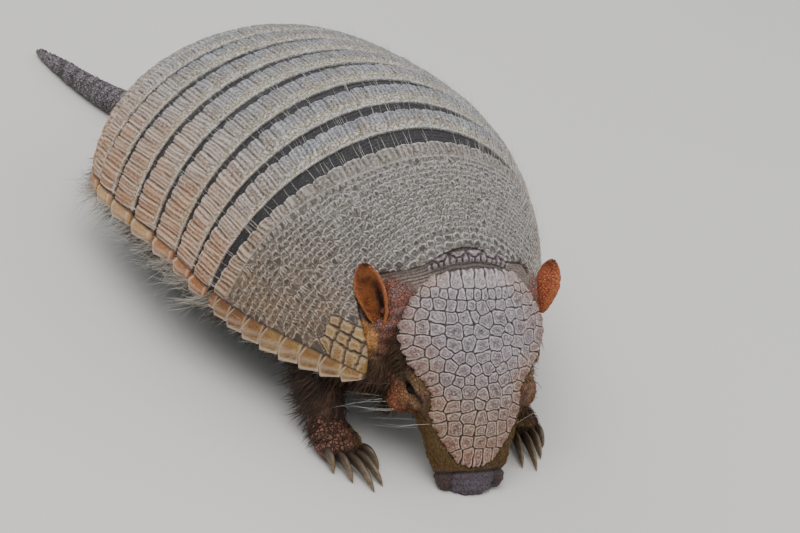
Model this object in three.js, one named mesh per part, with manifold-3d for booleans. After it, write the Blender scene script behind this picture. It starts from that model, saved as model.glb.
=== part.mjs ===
// A larger hairy armadillo (Chaetophractus villosus), life size, standing with its nose to the ground.
// Millimetres, +Z up. The animal faces -Y and its left side is +X. While it is built, the origin is on the
// ground below the front edge of the shell; at the end the model moves to the bottom centre of its box.
import * as THREE from 'three';
import { mergeVertices } from 'three/addons/utils/BufferGeometryUtils.js';
import Module from 'manifold-3d';

const wasm = await Module();
wasm.setup();

// ---------------------------------------------------------------- driving dimensions
const gap = 0.35; // clearance between neighbouring solids

// The shell is swept through cross-sections, from its front edge (0) to its rear edge (1).
const shell = {
  at: [0, 0.27, 0.45, 0.66, 0.84, 1],
  y: [2, 58, 92, 165, 181, 190], // where the lower margin crosses each section
  lean: [-1, -12, 2, 12, 48, 84], // degrees that the section leans to the rear
  halfWidth: [42, 77, 88, 95, 84, 68],
  rise: [54, 83, 85, 75, 60, 58], // height of the arch above the margin, along the section
  margin: [38, 33, 38, 32, 34, 38], // height of the margin above the ground
  roundness: 1.92, // exponent of the arch: 2 is an ellipse
  frontSweep: -13, // how far the front corners reach ahead of the middle
  rearSweep: -2,
  thickness: 3,
  columns: 18, // facets from the right margin to the left margin
};
const scapularEnd = 0.3;
const bandEnds = [0.37, 0.43, 0.49, 0.54, 0.59, 0.64, 0.69]; // rear edges of the seven movable bands
const firstFold = { top: 0.5, side: 0.24 }; // bare skin ahead of band 1, as a share of the band
const laterFold = { top: 0.36, side: 0.18 };
// The front edge gives way behind each ear, and a little in the middle.
const earNotch = { depth: 0.08, at: 0.21, width: 0.092, middle: 0.009, middleWidth: 0.12 };
const frontDrop = 1; // each plate starts this much lower, under the plate ahead

// Belly and flanks below the margin: y, half width, lowest and highest point of each section.
const belly = [
  [-2, 26, 27, 50], [14, 42, 17, 50], [38, 58, 13, 50], [75, 75, 11, 50], [120, 82, 11, 50],
  [165, 84, 12, 46], [196, 70, 18, 46], [222, 44, 28, 44],
];

// Head, in its own frame: a runs from the back of the head to the nose, b to the left, c up.
const headPlace = { x: 2.7, y: -10.4, z: 86.8, yaw: 2.9, pitch: 59.7, roll: 5.6 };
const head = { // half width, top and underside of the head at each distance a
  jawTaper: 0.42, // share by which the jaw is narrower than the cheeks
  at: [-6, 2, 10, 23, 36, 46, 57, 69, 78, 85, 90],
  halfWidth: [20, 25, 30, 33.5, 30.5, 26.5, 23, 20, 17.2, 15.4, 11],
  top: [-8, -3, -1, 0, -0.3, -1.3, -3.2, -6.3, -9.3, -12.3, -16],
  under: [-32, -40, -44, -44, -41, -38, -34.6, -31.5, -28.4, -24.8, -20.4],
  bulges: [ // cheek below the eye, and the root of the ear: place, spread and height
    { a: 45, c: -27, long: 12, high: 6.5, out: 10 }, { a: 14, c: -13, long: 9, high: 7, out: 5 },
  ],
};
const headShield = {
  at: [0, 9.3, 23, 35, 46.5, 58, 70, 77.5],
  halfWidth: [19, 27, 32.5, 29, 21.2, 19.6, 13.8, 8.2],
  thickness: 1.8,
  arch: 9.1, // how far the nose end drops below the crown
  sag: 0.36, // drop at the edge, as a share of the half width
};
const nuchal = { from: -10, to: -5.5, halfWidth: 18, shift: -2.5, arch: 0.0125, lift: 0.6, thickness: 1.6 };
const eye = { a: 45.9, b: 23.6, c: -16.5, radius: 4 };
const ear = {
  thickness: 1.8,
  cup: 4.6,
  halfWidth: [2.4, 4.8, 6.1, 6.9, 6.9, 5.4, 1.9], // from base to tip
  facing: { right: [0.1, -0.75, 0.65], left: [-0.45, 0.85, -0.1] }, // the way each opening looks
};
const earLines = { // lower end and tip of each ear, in the head's frame
  right: [[19, -39.8, -15], [-6.5, -47.5, -8.6]],
  left: [[16.5, 34.6, -20], [-4, 38.4, -14]],
};

// Limbs and tail: x, y, z, half width, half height along each centre line, drawn for the right side.
const neckLine = [[2, 46, 56, 30, 24], [6, 26, 57, 30, 25], [12, 12, 58, 27, 24], [15, 2, 55, 22, 20]];
const foreLeg = [
  [-32, 32, 44, 14, 14], [-39, 25, 32, 12.5, 13], [-45, 14, 20, 10, 10], [-45.5, 4, 11, 8, 7.5],
];
const foreFoot = [
  [-46, 10, 6, 6, 5], [-45, 3, 6.2, 9, 7], [-43.5, -6, 5, 11, 5.6], [-42.5, -12, 3.6, 10.4, 4],
];
const hindLeg = [
  [-38, 160, 46, 20, 22], [-44, 161, 33, 17, 19], [-48, 163.5, 20, 11.5, 13], [-49, 167, 9, 9, 9.5],
];
const hindFoot = [
  [-48, 177, 6, 6, 6.5], [-49, 165, 6, 9.5, 8], [-50, 148, 5, 11, 6], [-51, 134, 3.6, 10.4, 4],
];
const foreClaws = { length: [11, 19, 21, 14, 9], radius: 2.5, height: 5, splay: 9 };
const hindClaws = { length: [9, 12, 13, 11, 8], radius: 2.2, height: 4.6, splay: 7 };
const tailLine = [
  [0, 216, 34, 13, 11], [-5, 244, 25, 11, 9.5], [-17, 268, 14, 9.6, 8.6], [-31, 293, 7.3, 8.4, 7.6],
  [-42, 322, 5.4, 6.6, 5.8], [-48, 347, 3.8, 4.8, 4.1], [-52, 366, 2, 2.2, 2.2],
];
const tailSteps = 21;
const tailCuts = [7, 14]; // steps where the tail is parted into three lengths

// ---------------------------------------------------------------- materials
const colour = {
  plate: 0x9a8f8c, bandPlate: 0xa08b78, skin: 0x4b4440, horn: 0x8d7a62, eye: 0x0c0a09, ear: 0xa5673c,
};
const finish = { plate: 0.6, bandPlate: 0.6, skin: 0.85, horn: 0.45, eye: 0.1, ear: 0.7 };

// ---------------------------------------------------------------- interpolation and solids
// Smooth value of a quantity between its stations.
function along(at, values, s) {
  const slope = (i) => {
    if (i === 0) return (values[1] - values[0]) / (at[1] - at[0]);
    if (i === at.length - 1) return (values[i] - values[i - 1]) / (at[i] - at[i - 1]);
    const before = at[i] - at[i - 1];
    const after = at[i + 1] - at[i];
    const rises = before * before * (values[i + 1] - values[i]) + after * after * (values[i] - values[i - 1]);
    return rises / (before * after * (before + after));
  };
  let i = 0;
  while (i < at.length - 2 && s > at[i + 1]) i += 1;
  const step = at[i + 1] - at[i];
  const t = (s - at[i]) / step;
  const held = (2 * t ** 3 - 3 * t ** 2 + 1) * values[i] + (3 * t ** 2 - 2 * t ** 3) * values[i + 1];
  return held + step * ((t ** 3 - 2 * t ** 2 + t) * slope(i) + (t ** 3 - t ** 2) * slope(i + 1));
}

const bell = (x) => Math.exp(-x * x);

function geometryFrom(points, faces) {
  const geometry = new THREE.BufferGeometry();
  const flat = points.flatMap((p) => [p.x, p.y, p.z]);
  geometry.setAttribute('position', new THREE.Float32BufferAttribute(flat, 3));
  geometry.setIndex(faces.flat());
  return geometry;
}

// Closed plate between an outer and an inner surface, each a function of row and column shares.
function plate(rows, columns, outer, inner) {
  const points = [];
  for (const surface of [outer, inner]) {
    for (let i = 0; i <= rows; i += 1) {
      for (let j = 0; j <= columns; j += 1) points.push(surface(i / rows, j / columns));
    }
  }
  const width = columns + 1;
  const layer = (rows + 1) * width;
  const at = (i, j, side) => side * layer + i * width + j;
  const faces = [];
  const quad = (a, b, c, d) => faces.push([a, b, c], [a, c, d]);
  for (let i = 0; i < rows; i += 1) {
    for (let j = 0; j < columns; j += 1) {
      quad(at(i, j, 0), at(i, j + 1, 0), at(i + 1, j + 1, 0), at(i + 1, j, 0));
      quad(at(i, j, 1), at(i + 1, j, 1), at(i + 1, j + 1, 1), at(i, j + 1, 1));
    }
  }
  for (let i = 0; i < rows; i += 1) {
    quad(at(i, 0, 0), at(i + 1, 0, 0), at(i + 1, 0, 1), at(i, 0, 1));
    quad(at(i, columns, 0), at(i, columns, 1), at(i + 1, columns, 1), at(i + 1, columns, 0));
  }
  for (let j = 0; j < columns; j += 1) {
    quad(at(0, j, 0), at(0, j, 1), at(0, j + 1, 1), at(0, j + 1, 0));
    quad(at(rows, j, 0), at(rows, j + 1, 0), at(rows, j + 1, 1), at(rows, j, 1));
  }
  return geometryFrom(points, faces);
}

// Closed body through rings of points, all with the same count.
function ringBody(rings) {
  const sides = rings[0].length;
  const points = rings.flat();
  const faces = [];
  for (let i = 0; i < rings.length - 1; i += 1) {
    for (let j = 0; j < sides; j += 1) {
      const next = (j + 1) % sides;
      const [a, b] = [i * sides + j, i * sides + next];
      const [c, d] = [a + sides, b + sides];
      faces.push([a, b, d], [a, d, c]);
    }
  }
  const middle = (ring) => ring.reduce((sum, p) => sum.add(p), new THREE.Vector3()).divideScalar(sides);
  const start = points.push(middle(rings[0])) - 1;
  const end = points.push(middle(rings[rings.length - 1])) - 1;
  const last = (rings.length - 1) * sides;
  for (let j = 0; j < sides; j += 1) {
    const next = (j + 1) % sides;
    faces.push([start, next, j], [end, last + j, last + next]);
  }
  return geometryFrom(points, faces);
}

// Ring of an ellipse-like section; square above 2 makes it boxier.
function ring(centre, sideways, upward, halfWidth, halfHeight, sides, square = 2) {
  const points = [];
  for (let j = 0; j < sides; j += 1) {
    const angle = (2 * Math.PI * j) / sides;
    const bend = (value) => Math.sign(value) * Math.abs(value) ** (2 / square);
    const p = centre.clone().addScaledVector(sideways, halfWidth * bend(Math.cos(angle)));
    points.push(p.addScaledVector(upward, halfHeight * bend(Math.sin(angle))));
  }
  return points;
}

// Round body along a centre line whose points also carry half width and half height.
function limb(line, steps, sides, grow = 0, from = 0, to = steps, ease = 0) {
  const curve = new THREE.CatmullRomCurve3(line.map(([x, y, z]) => new THREE.Vector3(x, y, z)));
  const stations = line.map((unused, i) => i / (line.length - 1));
  const level = new THREE.Vector3(1, 0, 0);
  const rings = [];
  for (let i = from; i <= to; i += 1) {
    const isEnd = i === from || i === to;
    const s = (i + (isEnd ? ease * (i === from ? 1 : -1) : 0)) / steps;
    const forward = curve.getTangent(s);
    const sideways = level.clone().addScaledVector(forward, -level.dot(forward)).normalize();
    const upward = new THREE.Vector3().crossVectors(forward, sideways);
    const halfWidth = along(stations, line.map((row) => row[3]), s) + grow;
    const halfHeight = along(stations, line.map((row) => row[4]), s) + grow;
    const centre = curve.getPoint(s);
    if (isEnd) centre.addScaledVector(forward, i === from ? -grow : grow);
    rings.push(ring(centre, sideways, upward, halfWidth, halfHeight, sides));
  }
  return solid(ringBody(rings));
}

function solid(geometry) {
  const bare = geometry.clone();
  bare.deleteAttribute('normal');
  bare.deleteAttribute('uv');
  const merged = mergeVertices(bare, 1e-4);
  const vertProperties = new Float32Array(merged.attributes.position.array);
  const triVerts = new Uint32Array(merged.index.array);
  const mesh = new wasm.Mesh({ numProp: 3, vertProperties, triVerts });
  const made = new wasm.Manifold(mesh);
  if (made.volume() < 0) throw new Error('a surface faces inwards');
  return made;
}

function geometryOf(manifold) {
  const mesh = manifold.getMesh();
  const geometry = new THREE.BufferGeometry();
  geometry.setAttribute('position', new THREE.BufferAttribute(mesh.vertProperties, 3));
  geometry.setIndex(new THREE.BufferAttribute(mesh.triVerts, 1));
  return geometry;
}

const mirrored = (line) => line.map(([x, ...rest]) => [-x, ...rest]);

// Everything above the ground, as a box that cuts the flats the animal rests on.
const aboveGround = solid(new THREE.BoxGeometry(600, 1200, 400).translate(0, 100, 200));

// ---------------------------------------------------------------- the shell
// Point of the shell at a share of its length and of its arch, sunk below the surface by depth.
function shellSurface(s, t) {
  const value = (name) => along(shell.at, shell[name], s);
  const angle = Math.PI * t;
  const bend = 2 / shell.roundness;
  const across = -Math.sign(Math.cos(angle)) * Math.abs(Math.cos(angle)) ** bend;
  const height = value('rise') * Math.max(Math.sin(angle), 0) ** bend;
  const { frontSweep, rearSweep } = shell;
  const sweepAt = [frontSweep, rearSweep, rearSweep, rearSweep, rearSweep / 2, 0];
  const sweep = along(shell.at, sweepAt, s) * Math.abs(across) ** 3;
  const lean = THREE.MathUtils.degToRad(value('lean'));
  return new THREE.Vector3(
    value('halfWidth') * across,
    value('y') + height * Math.sin(lean) + sweep,
    value('margin') + height * Math.cos(lean),
  );
}

function shellPoint(s, t, depth) {
  const step = 0.004;
  const [s0, s1] = [Math.max(s - step, 0), Math.min(s + step, 1)];
  const [t0, t1] = [Math.max(t - step, 0), Math.min(t + step, 1)];
  const alongShell = shellSurface(s1, t).sub(shellSurface(s0, t));
  const acrossShell = shellSurface(s, t1).sub(shellSurface(s, t0));
  const normal = acrossShell.cross(alongShell).normalize();
  return shellSurface(s, t).addScaledVector(normal, -depth);
}

function shellPlate(rows, start, end, drop) {
  const at = (depth) => (i, j) => {
    const s = THREE.MathUtils.lerp(start(j), end(j), i);
    return shellPoint(s, j, depth + drop * (1 - i) ** 2);
  };
  return plate(rows, shell.columns, at(0), at(shell.thickness - drop));
}

function bandPlate(start, end, fold) {
  const share = (j) => THREE.MathUtils.lerp(fold.side, fold.top, Math.sin(Math.PI * j) ** 1.5);
  return shellPlate(1, (j) => start + (end - start) * share(j), () => end, frontDrop);
}

// Closed dome below the plates, filled down to the margin.
function shellCore(depth) {
  const rows = 8;
  const rings = [];
  for (let i = 0; i <= rows; i += 1) {
    const arch = [];
    for (let j = 0; j <= shell.columns; j += 1) arch.push(shellPoint(i / rows, j / shell.columns, depth));
    rings.push(arch);
  }
  return solid(ringBody(rings));
}

// Room that the plates take: what lies under the shell is cut back to it.
function shellRoom() {
  const at = (depth) => (i, j) => shellPoint(i, j, depth);
  return solid(plate(8, shell.columns, at(-12), at(shell.thickness + 4 * gap)));
}

// ---------------------------------------------------------------- the head
function headMatrix() {
  const { x, y, z } = headPlace;
  const [yaw, pitch, roll] = [headPlace.yaw, headPlace.pitch, headPlace.roll].map(THREE.MathUtils.degToRad);
  const reach = Math.cos(pitch);
  const forward = new THREE.Vector3(-Math.sin(yaw) * reach, -Math.cos(yaw) * reach, -Math.sin(pitch));
  const level = new THREE.Vector3(Math.cos(yaw), -Math.sin(yaw), 0);
  const crown = new THREE.Vector3().crossVectors(forward, level);
  const left = level.clone().multiplyScalar(Math.cos(roll)).addScaledVector(crown, Math.sin(roll));
  const upward = new THREE.Vector3().crossVectors(forward, left);
  return new THREE.Matrix4().makeBasis(forward, left, upward).setPosition(x, y, z);
}
const toWorld = headMatrix();
const headSolid = (geometry) => solid(geometry.applyMatrix4(toWorld));

function headBody(grow) {
  const [left, upward] = [new THREE.Vector3(0, 1, 0), new THREE.Vector3(0, 0, 1)];
  const rings = head.at.map((a, i) => {
    const end = i === 0 ? -grow : i === head.at.length - 1 ? grow : 0;
    const centre = new THREE.Vector3(a + end, 0, (head.top[i] + head.under[i]) / 2);
    const halfHeight = (head.top[i] - head.under[i]) / 2 + grow;
    const section = ring(centre, left, upward, head.halfWidth[i] + grow, halfHeight, 14, 2.25);
    for (const p of section) {
      p.y *= 1 - head.jawTaper * THREE.MathUtils.clamp((head.top[i] - 14 - p.z) / 30, 0, 1);
      const side = THREE.MathUtils.clamp(p.y / 12, -1, 1);
      for (const bulge of head.bulges) {
        p.y += side * bulge.out * bell((a - bulge.a) / bulge.long) * bell((p.z - bulge.c) / bulge.high);
      }
    }
    return section;
  });
  return headSolid(ringBody(rings));
}

// Crown surface of the head shield at distance a and share w of its half width.
function crownPoint(a, w, halfWidth, depth) {
  const length = headShield.at[headShield.at.length - 1];
  const rise = -headShield.arch * ((a / length - 0.35) / 0.65) ** 2;
  return new THREE.Vector3(a, w * halfWidth, rise - headShield.sag * halfWidth * w * w - depth);
}

function headShieldPlate(grow, above, below) {
  const length = headShield.at[headShield.at.length - 1];
  const at = (depth) => (i, j) => {
    const a = length * i;
    const w = 1 - 2 * j;
    const ends = (1 - w * w) * (i < 0.5 ? -2.2 : 2.2) * Math.abs(2 * i - 1) ** 3;
    const halfWidth = along(headShield.at, headShield.halfWidth, a) + grow;
    const p = crownPoint(a, w, halfWidth, depth);
    p.x += ends + grow * (2 * i - 1);
    return p;
  };
  return headSolid(plate(8, 8, at(-above), at(below)));
}

function nuchalPlate(grow) {
  const at = (depth) => (i, j) => {
    const a = THREE.MathUtils.lerp(nuchal.from - grow, nuchal.to + grow, i);
    const p = crownPoint(a, 1 - 2 * j, nuchal.halfWidth + grow, depth - nuchal.lift);
    p.x += nuchal.arch * p.y * p.y;
    p.y += nuchal.shift;
    return p;
  };
  return headSolid(plate(2, 10, at(-grow), at(nuchal.thickness + grow)));
}

function earLeaf(side, grow) {
  const [base, tip] = earLines[side].map((p) => new THREE.Vector3(...p));
  const length = new THREE.Vector3().subVectors(tip, base);
  const facing = new THREE.Vector3(...ear.facing[side]).normalize();
  const across = new THREE.Vector3().crossVectors(length, facing).normalize();
  facing.crossVectors(across, length).normalize();
  const stations = ear.halfWidth.map((unused, i) => i / (ear.halfWidth.length - 1));
  const at = (offset) => (i, j) => {
    const w = 2 * j - 1;
    const halfWidth = along(stations, ear.halfWidth, i) + grow;
    const depth = ear.cup * (1 - w * w) * Math.sin(Math.PI * Math.min(i + 0.15, 1)) - offset;
    const p = base.clone().addScaledVector(length, i + grow * 0.02 * (2 * i - 1));
    return p.addScaledVector(across, halfWidth * w).addScaledVector(facing, -depth);
  };
  return headSolid(plate(6, 4, at(grow), at(-ear.thickness - grow)));
}

function eyeball(side, grow) {
  const ball = new THREE.SphereGeometry(eye.radius + grow, 9, 6);
  return headSolid(ball.translate(eye.a, side === 'right' ? -eye.b : eye.b, eye.c));
}

// ---------------------------------------------------------------- feet and claws
// Claws of one foot fan out from the last ring of the foot and bend down to the ground.
function clawLines(footLine, claws, outward) {
  const [toeX, toeY, toeZ, halfWidth] = footLine[footLine.length - 1];
  const [backX, backY] = footLine[footLine.length - 2];
  const heading = Math.atan2(toeX - backX, backY - toeY);
  return claws.length.map((length, digit) => {
    const share = digit / 2 - 1; // from the inner digit to the outer one
    const turn = heading + outward * THREE.MathUtils.degToRad(claws.splay) * share;
    const reach = (distance, z, radius) => [
      toeX + outward * share * (halfWidth - 2) + Math.sin(turn) * distance,
      toeY - Math.cos(turn) * distance - 2 + 3.5 * share * share,
      z, radius * 0.6, radius,
    ];
    return [
      reach(-1, toeZ + 0.4, claws.radius), reach(length * 0.35, claws.height, claws.radius),
      reach(length * 0.75, claws.height * 0.6, claws.radius * 0.7), reach(length, 0.3, 0.6),
    ];
  });
}

// ---------------------------------------------------------------- assembly
const sides = { right: (line) => line, left: mirrored };
const plateRoom = shellRoom();
const parts = {};
const limbs = {};
for (const [side, place] of Object.entries(sides)) {
  const outward = side === 'right' ? -1 : 1;
  for (const [name, legLine, footLine, claws] of [
    ['fore', foreLeg, foreFoot, foreClaws], ['hind', hindLeg, hindFoot, hindClaws],
  ]) {
    const lines = clawLines(place(footLine), claws, outward);
    const foot = (grow) => limb(place(footLine), 5, 10, grow);
    let paw = foot(0).intersect(aboveGround);
    lines.forEach((line, digit) => {
      parts[`claw_${name}_${side}_${digit + 1}`] = ['horn', limb(line, 3, 5).intersect(aboveGround)];
      paw = paw.subtract(limb(line, 3, 5, gap));
    });
    parts[`foot_${name}_${side}`] = ['skin', paw];
    const leg = limb(place(legLine), 5, 12).subtract(foot(gap)).subtract(plateRoom);
    parts[`leg_${name}_${side}`] = ['skin', leg];
    limbs[`${name}_${side}`] = limb(place(legLine), 5, 12, 2 * gap);
  }
  parts[`eye_${side}`] = ['eye', eyeball(side, 0)];
  parts[`ear_${side}`] = ['ear', earLeaf(side, 0)];
}

const shieldPart = headShieldPlate(0, 0, headShield.thickness);
const nuchalPart = nuchalPlate(0).subtract(plateRoom);
const shieldRoom = headShieldPlate(gap, 14, headShield.thickness + 2 * gap);
let headPart = headBody(0).intersect(aboveGround).subtract(shieldRoom);
let neckPart = limb(neckLine, 4, 14).subtract(headBody(gap)).subtract(nuchalPlate(gap)).subtract(plateRoom);
for (const side of Object.keys(sides)) {
  headPart = headPart.subtract(eyeball(side, gap)).subtract(earLeaf(side, 3 * gap));
  neckPart = neckPart.subtract(earLeaf(side, 2 * gap)).subtract(limbs[`fore_${side}`]);
}
headPart = headPart.subtract(nuchalPlate(gap)).subtract(plateRoom);
headPart = headPart.decompose().sort((one, other) => other.volume() - one.volume())[0]; // drops slivers

const bellyLine = belly.map(
  ([y, halfWidth, low, high]) => [0, y, (low + high) / 2, halfWidth, (high - low) / 2],
);
let trunkPart = shellCore(shell.thickness + 5 * gap).add(limb(bellyLine, 8, 12));
const hollows = [limb(neckLine, 4, 14, gap), headBody(gap), limb(tailLine, tailSteps, 8, gap)];
hollows.push(...Object.values(limbs), nuchalPlate(gap), plateRoom);
hollows.push(headShieldPlate(gap, 3, headShield.thickness));
hollows.push(earLeaf('right', 6 * gap), earLeaf('left', 6 * gap));
for (const hollow of hollows) trunkPart = trunkPart.subtract(hollow);

const lengths = [0, ...tailCuts, tailSteps];
const tailNames = ['tail_base', 'tail_middle', 'tail_tip'];
tailNames.forEach((name, i) => {
  const piece = limb(tailLine, tailSteps, 8, 0, lengths[i], lengths[i + 1], 0.03);
  parts[name] = ['skin', piece.intersect(aboveGround)];
});

parts.head_shield = ['plate', shieldPart];
parts.nuchal_band = ['plate', nuchalPart];
parts.head = ['skin', headPart];
parts.neck = ['skin', neckPart];
parts.trunk = ['skin', trunkPart];
const frontEdge = (j) => {
  const near = (place) => bell((j - place) / earNotch.width);
  const arch = earNotch.middle * bell((j - 0.5) / earNotch.middleWidth);
  return arch + earNotch.depth * (near(earNotch.at) + near(1 - earNotch.at));
};
parts.scapular_shield = ['plate', solid(shellPlate(6, frontEdge, () => scapularEnd, 0))];
bandEnds.forEach((end, i) => {
  const start = i === 0 ? scapularEnd : bandEnds[i - 1];
  parts[`band_${i + 1}`] = ['bandPlate', solid(bandPlate(start, end, i === 0 ? firstFold : laterFold))];
});
const pelvicStart = bandEnds[bandEnds.length - 1] + 0.006;
parts.pelvic_shield = ['plate', solid(shellPlate(6, () => pelvicStart, () => 1, 0))];

const group = new THREE.Group();
for (const [name, [kind, body]] of Object.entries(parts)) {
  const look = { color: colour[kind], roughness: finish[kind], metalness: 0 };
  const material = new THREE.MeshStandardMaterial(look);
  const mesh = new THREE.Mesh(geometryOf(body), material);
  mesh.name = name;
  group.add(mesh);
}
const box = new THREE.Box3().setFromObject(group);
group.position.set(-(box.min.x + box.max.x) / 2, -(box.min.y + box.max.y) / 2, 0);

export default group;
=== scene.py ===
import bpy
import numpy as np
from mathutils import Matrix, Vector, kdtree


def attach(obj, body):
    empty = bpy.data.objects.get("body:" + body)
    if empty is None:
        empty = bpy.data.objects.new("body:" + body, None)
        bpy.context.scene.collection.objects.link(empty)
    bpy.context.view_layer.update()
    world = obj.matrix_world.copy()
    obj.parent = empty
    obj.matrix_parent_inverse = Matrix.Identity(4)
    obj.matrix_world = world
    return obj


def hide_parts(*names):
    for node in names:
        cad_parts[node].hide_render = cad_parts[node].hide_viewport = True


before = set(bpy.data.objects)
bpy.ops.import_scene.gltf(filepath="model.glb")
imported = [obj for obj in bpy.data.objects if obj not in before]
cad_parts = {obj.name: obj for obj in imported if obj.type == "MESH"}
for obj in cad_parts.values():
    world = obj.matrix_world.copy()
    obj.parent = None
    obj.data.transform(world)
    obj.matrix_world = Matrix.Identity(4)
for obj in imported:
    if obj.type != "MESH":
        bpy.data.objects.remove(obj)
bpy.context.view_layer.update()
bpy.ops.object.select_all(action="DESELECT")
rand = np.random.default_rng(21)
print("frame loaded")

# The animal is drawn in millimetres, with its origin on the ground below the front edge of the shell.
buildShift = np.array([0.0, -161.5726, 0.0])


def toFrame(points):
    return (np.asarray(points, float) + buildShift) * 0.001


def toBuild(points):
    return np.asarray(points, float) * 1000 - buildShift


def ease(low, high, x):
    q = np.clip((x - low) / (high - low), 0, 1)
    return q * q * (3 - 2 * q)


def bell(x, width):
    return np.exp(-(x / width) ** 2)


def unit(v):
    return v / np.maximum(np.linalg.norm(v, axis=-1, keepdims=True), 1e-9)


chanceFactors = (12.9898, 78.233, 37.719, 9.131)


def chance(*keys):  # the same number from 0 to 1 each time for the same keys
    total = sum(np.asarray(key, float) * factor for key, factor in zip(keys, chanceFactors))
    return np.modf(np.abs(np.sin(total) * 43758.5453))[0]


def along(at, values, s):  # smooth value of a quantity between its stations
    at, values = np.asarray(at, float), np.asarray(values, float)
    slope = np.gradient(values, at)
    i = np.clip(np.searchsorted(at, s) - 1, 0, len(at) - 2)
    step = at[i + 1] - at[i]
    q = (s - at[i]) / step
    held = (2 * q**3 - 3 * q**2 + 1) * values[i] + (3 * q**2 - 2 * q**3) * values[i + 1]
    return held + step * ((q**3 - 2 * q**2 + q) * slope[i] + (q**3 - q**2) * slope[i + 1])


def smoothNoise(p, scale, seed=0):  # soft lumps of about that size, from -1 to 1, over points in millimetres
    q = np.asarray(p, float) / scale
    total = np.zeros(len(q))
    for k in range(5):
        turn = unit(np.array([chance(k, seed, 1), chance(k, seed, 2), chance(k, seed, 3)]) - 0.5)
        phase = q @ turn * (2.1 + 1.3 * k) + 6.28 * chance(k, seed, 4)
        total += np.sin(phase + 1.7 * np.sin(q[:, k % 3] * 1.3 + k))
    return total / 3


def cells(x, y, seed=0, jitter=0.8):  # distance to the nearest of scattered points, and that point's number
    cx, cy = np.floor(x), np.floor(y)
    near = np.full(x.shape, 9.0)
    tone = np.zeros(x.shape)
    for i in (-1, 0, 1):
        for j in (-1, 0, 1):
            gx, gy = cx + i, cy + j
            px = gx + 0.5 + jitter * (chance(gx, gy, seed) - 0.5)
            py = gy + 0.5 + jitter * (chance(gx, gy, seed + 5) - 0.5)
            d = np.hypot(px - x, py - y)
            closer = d < near
            near = np.where(closer, d, near)
            tone = np.where(closer, chance(gx, gy, seed + 9), tone)
    return near, tone


def nearestTwo(points, seeds):  # distance to the edge between the two nearest seeds, and the nearest seed
    tree = kdtree.KDTree(len(seeds))
    for k, seed in enumerate(seeds):
        tree.insert(seed, k)
    tree.balance()
    first, second = np.zeros(len(points), int), np.zeros(len(points), int)
    for k, p in enumerate(points):
        (_, first[k], _), (_, second[k], _) = tree.find_n(p, 2)
    one, two = seeds[first], seeds[second]
    apart = np.linalg.norm(two - one, axis=1)
    reach = (np.sum((points - two) ** 2, 1) - np.sum((points - one) ** 2, 1)) / (2 * apart)
    return reach, first


# Meshes are read, shaped and written as lists of places.
def readPlaces(piece):
    places = np.empty(len(piece.data.vertices) * 3)
    piece.data.vertices.foreach_get("co", places)
    return places.reshape(-1, 3)


def writePlaces(piece, points):
    piece.data.vertices.foreach_set("co", np.ascontiguousarray(points, float).ravel())
    piece.data.update()


def readNormals(piece):
    normals = np.empty(len(piece.data.vertices) * 3)
    piece.data.vertices.foreach_get("normal", normals)
    return normals.reshape(-1, 3)


def mark(piece, **values):  # keeps a number for each vertex, which the finish reads
    for name, value in values.items():
        layer = piece.data.attributes.get(name) or piece.data.attributes.new(name, "FLOAT", "POINT")
        full = np.broadcast_to(np.asarray(value, np.float32), (len(piece.data.vertices),))
        layer.data.foreach_set("value", np.ascontiguousarray(full))


def only(piece):
    bpy.ops.object.select_all(action="DESELECT")
    piece.select_set(True)
    bpy.context.view_layer.objects.active = piece


def applied(piece, kind, **settings):
    only(piece)
    modifier = piece.modifiers.new(kind.title(), kind)
    for name, value in settings.items():
        setattr(modifier, name, value)
    bpy.ops.object.modifier_apply(modifier=modifier.name)


def edited(piece, operator, **settings):  # runs one edit-mode operator on the whole mesh
    only(piece)
    bpy.ops.object.mode_set(mode="EDIT")
    bpy.ops.mesh.select_all(action="SELECT")
    operator(**settings)
    bpy.ops.object.mode_set(mode="OBJECT")


def joined(pieces, name):
    bpy.ops.object.select_all(action="DESELECT")
    for piece in pieces:
        piece.select_set(True)
    bpy.context.view_layer.objects.active = pieces[0]
    if len(pieces) > 1:
        bpy.ops.object.join()
    pieces[0].name = pieces[0].data.name = name
    return pieces[0]


def meshOf(name, points, triangles):
    mesh = bpy.data.meshes.new(name)
    mesh.vertices.add(len(points))
    mesh.vertices.foreach_set("co", np.ascontiguousarray(points, np.float32).ravel())
    mesh.loops.add(len(triangles) * 3)
    mesh.loops.foreach_set("vertex_index", np.ascontiguousarray(triangles, np.int32).ravel())
    mesh.polygons.add(len(triangles))
    mesh.polygons.foreach_set("loop_start", np.arange(0, len(triangles) * 3, 3, dtype=np.int32))
    mesh.update(calc_edges=True)
    piece = bpy.data.objects.new(name, mesh)
    bpy.context.collection.objects.link(piece)
    return piece


def heading(x, y, z):  # one direction for each root
    return np.stack(np.broadcast_arrays(x, y, z), 1)


def mirrored(place, out):  # the same place on the right (-1) or left (1) side
    return np.array([place[0], out * place[1], place[2]])


def finished(piece, material, slot, *nodes):
    only(piece)
    bpy.ops.object.shade_smooth()
    piece.data.materials.clear()
    piece.data.materials.append(material)
    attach(piece, "root")
    if nodes:
        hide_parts(*nodes)
    return piece


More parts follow.
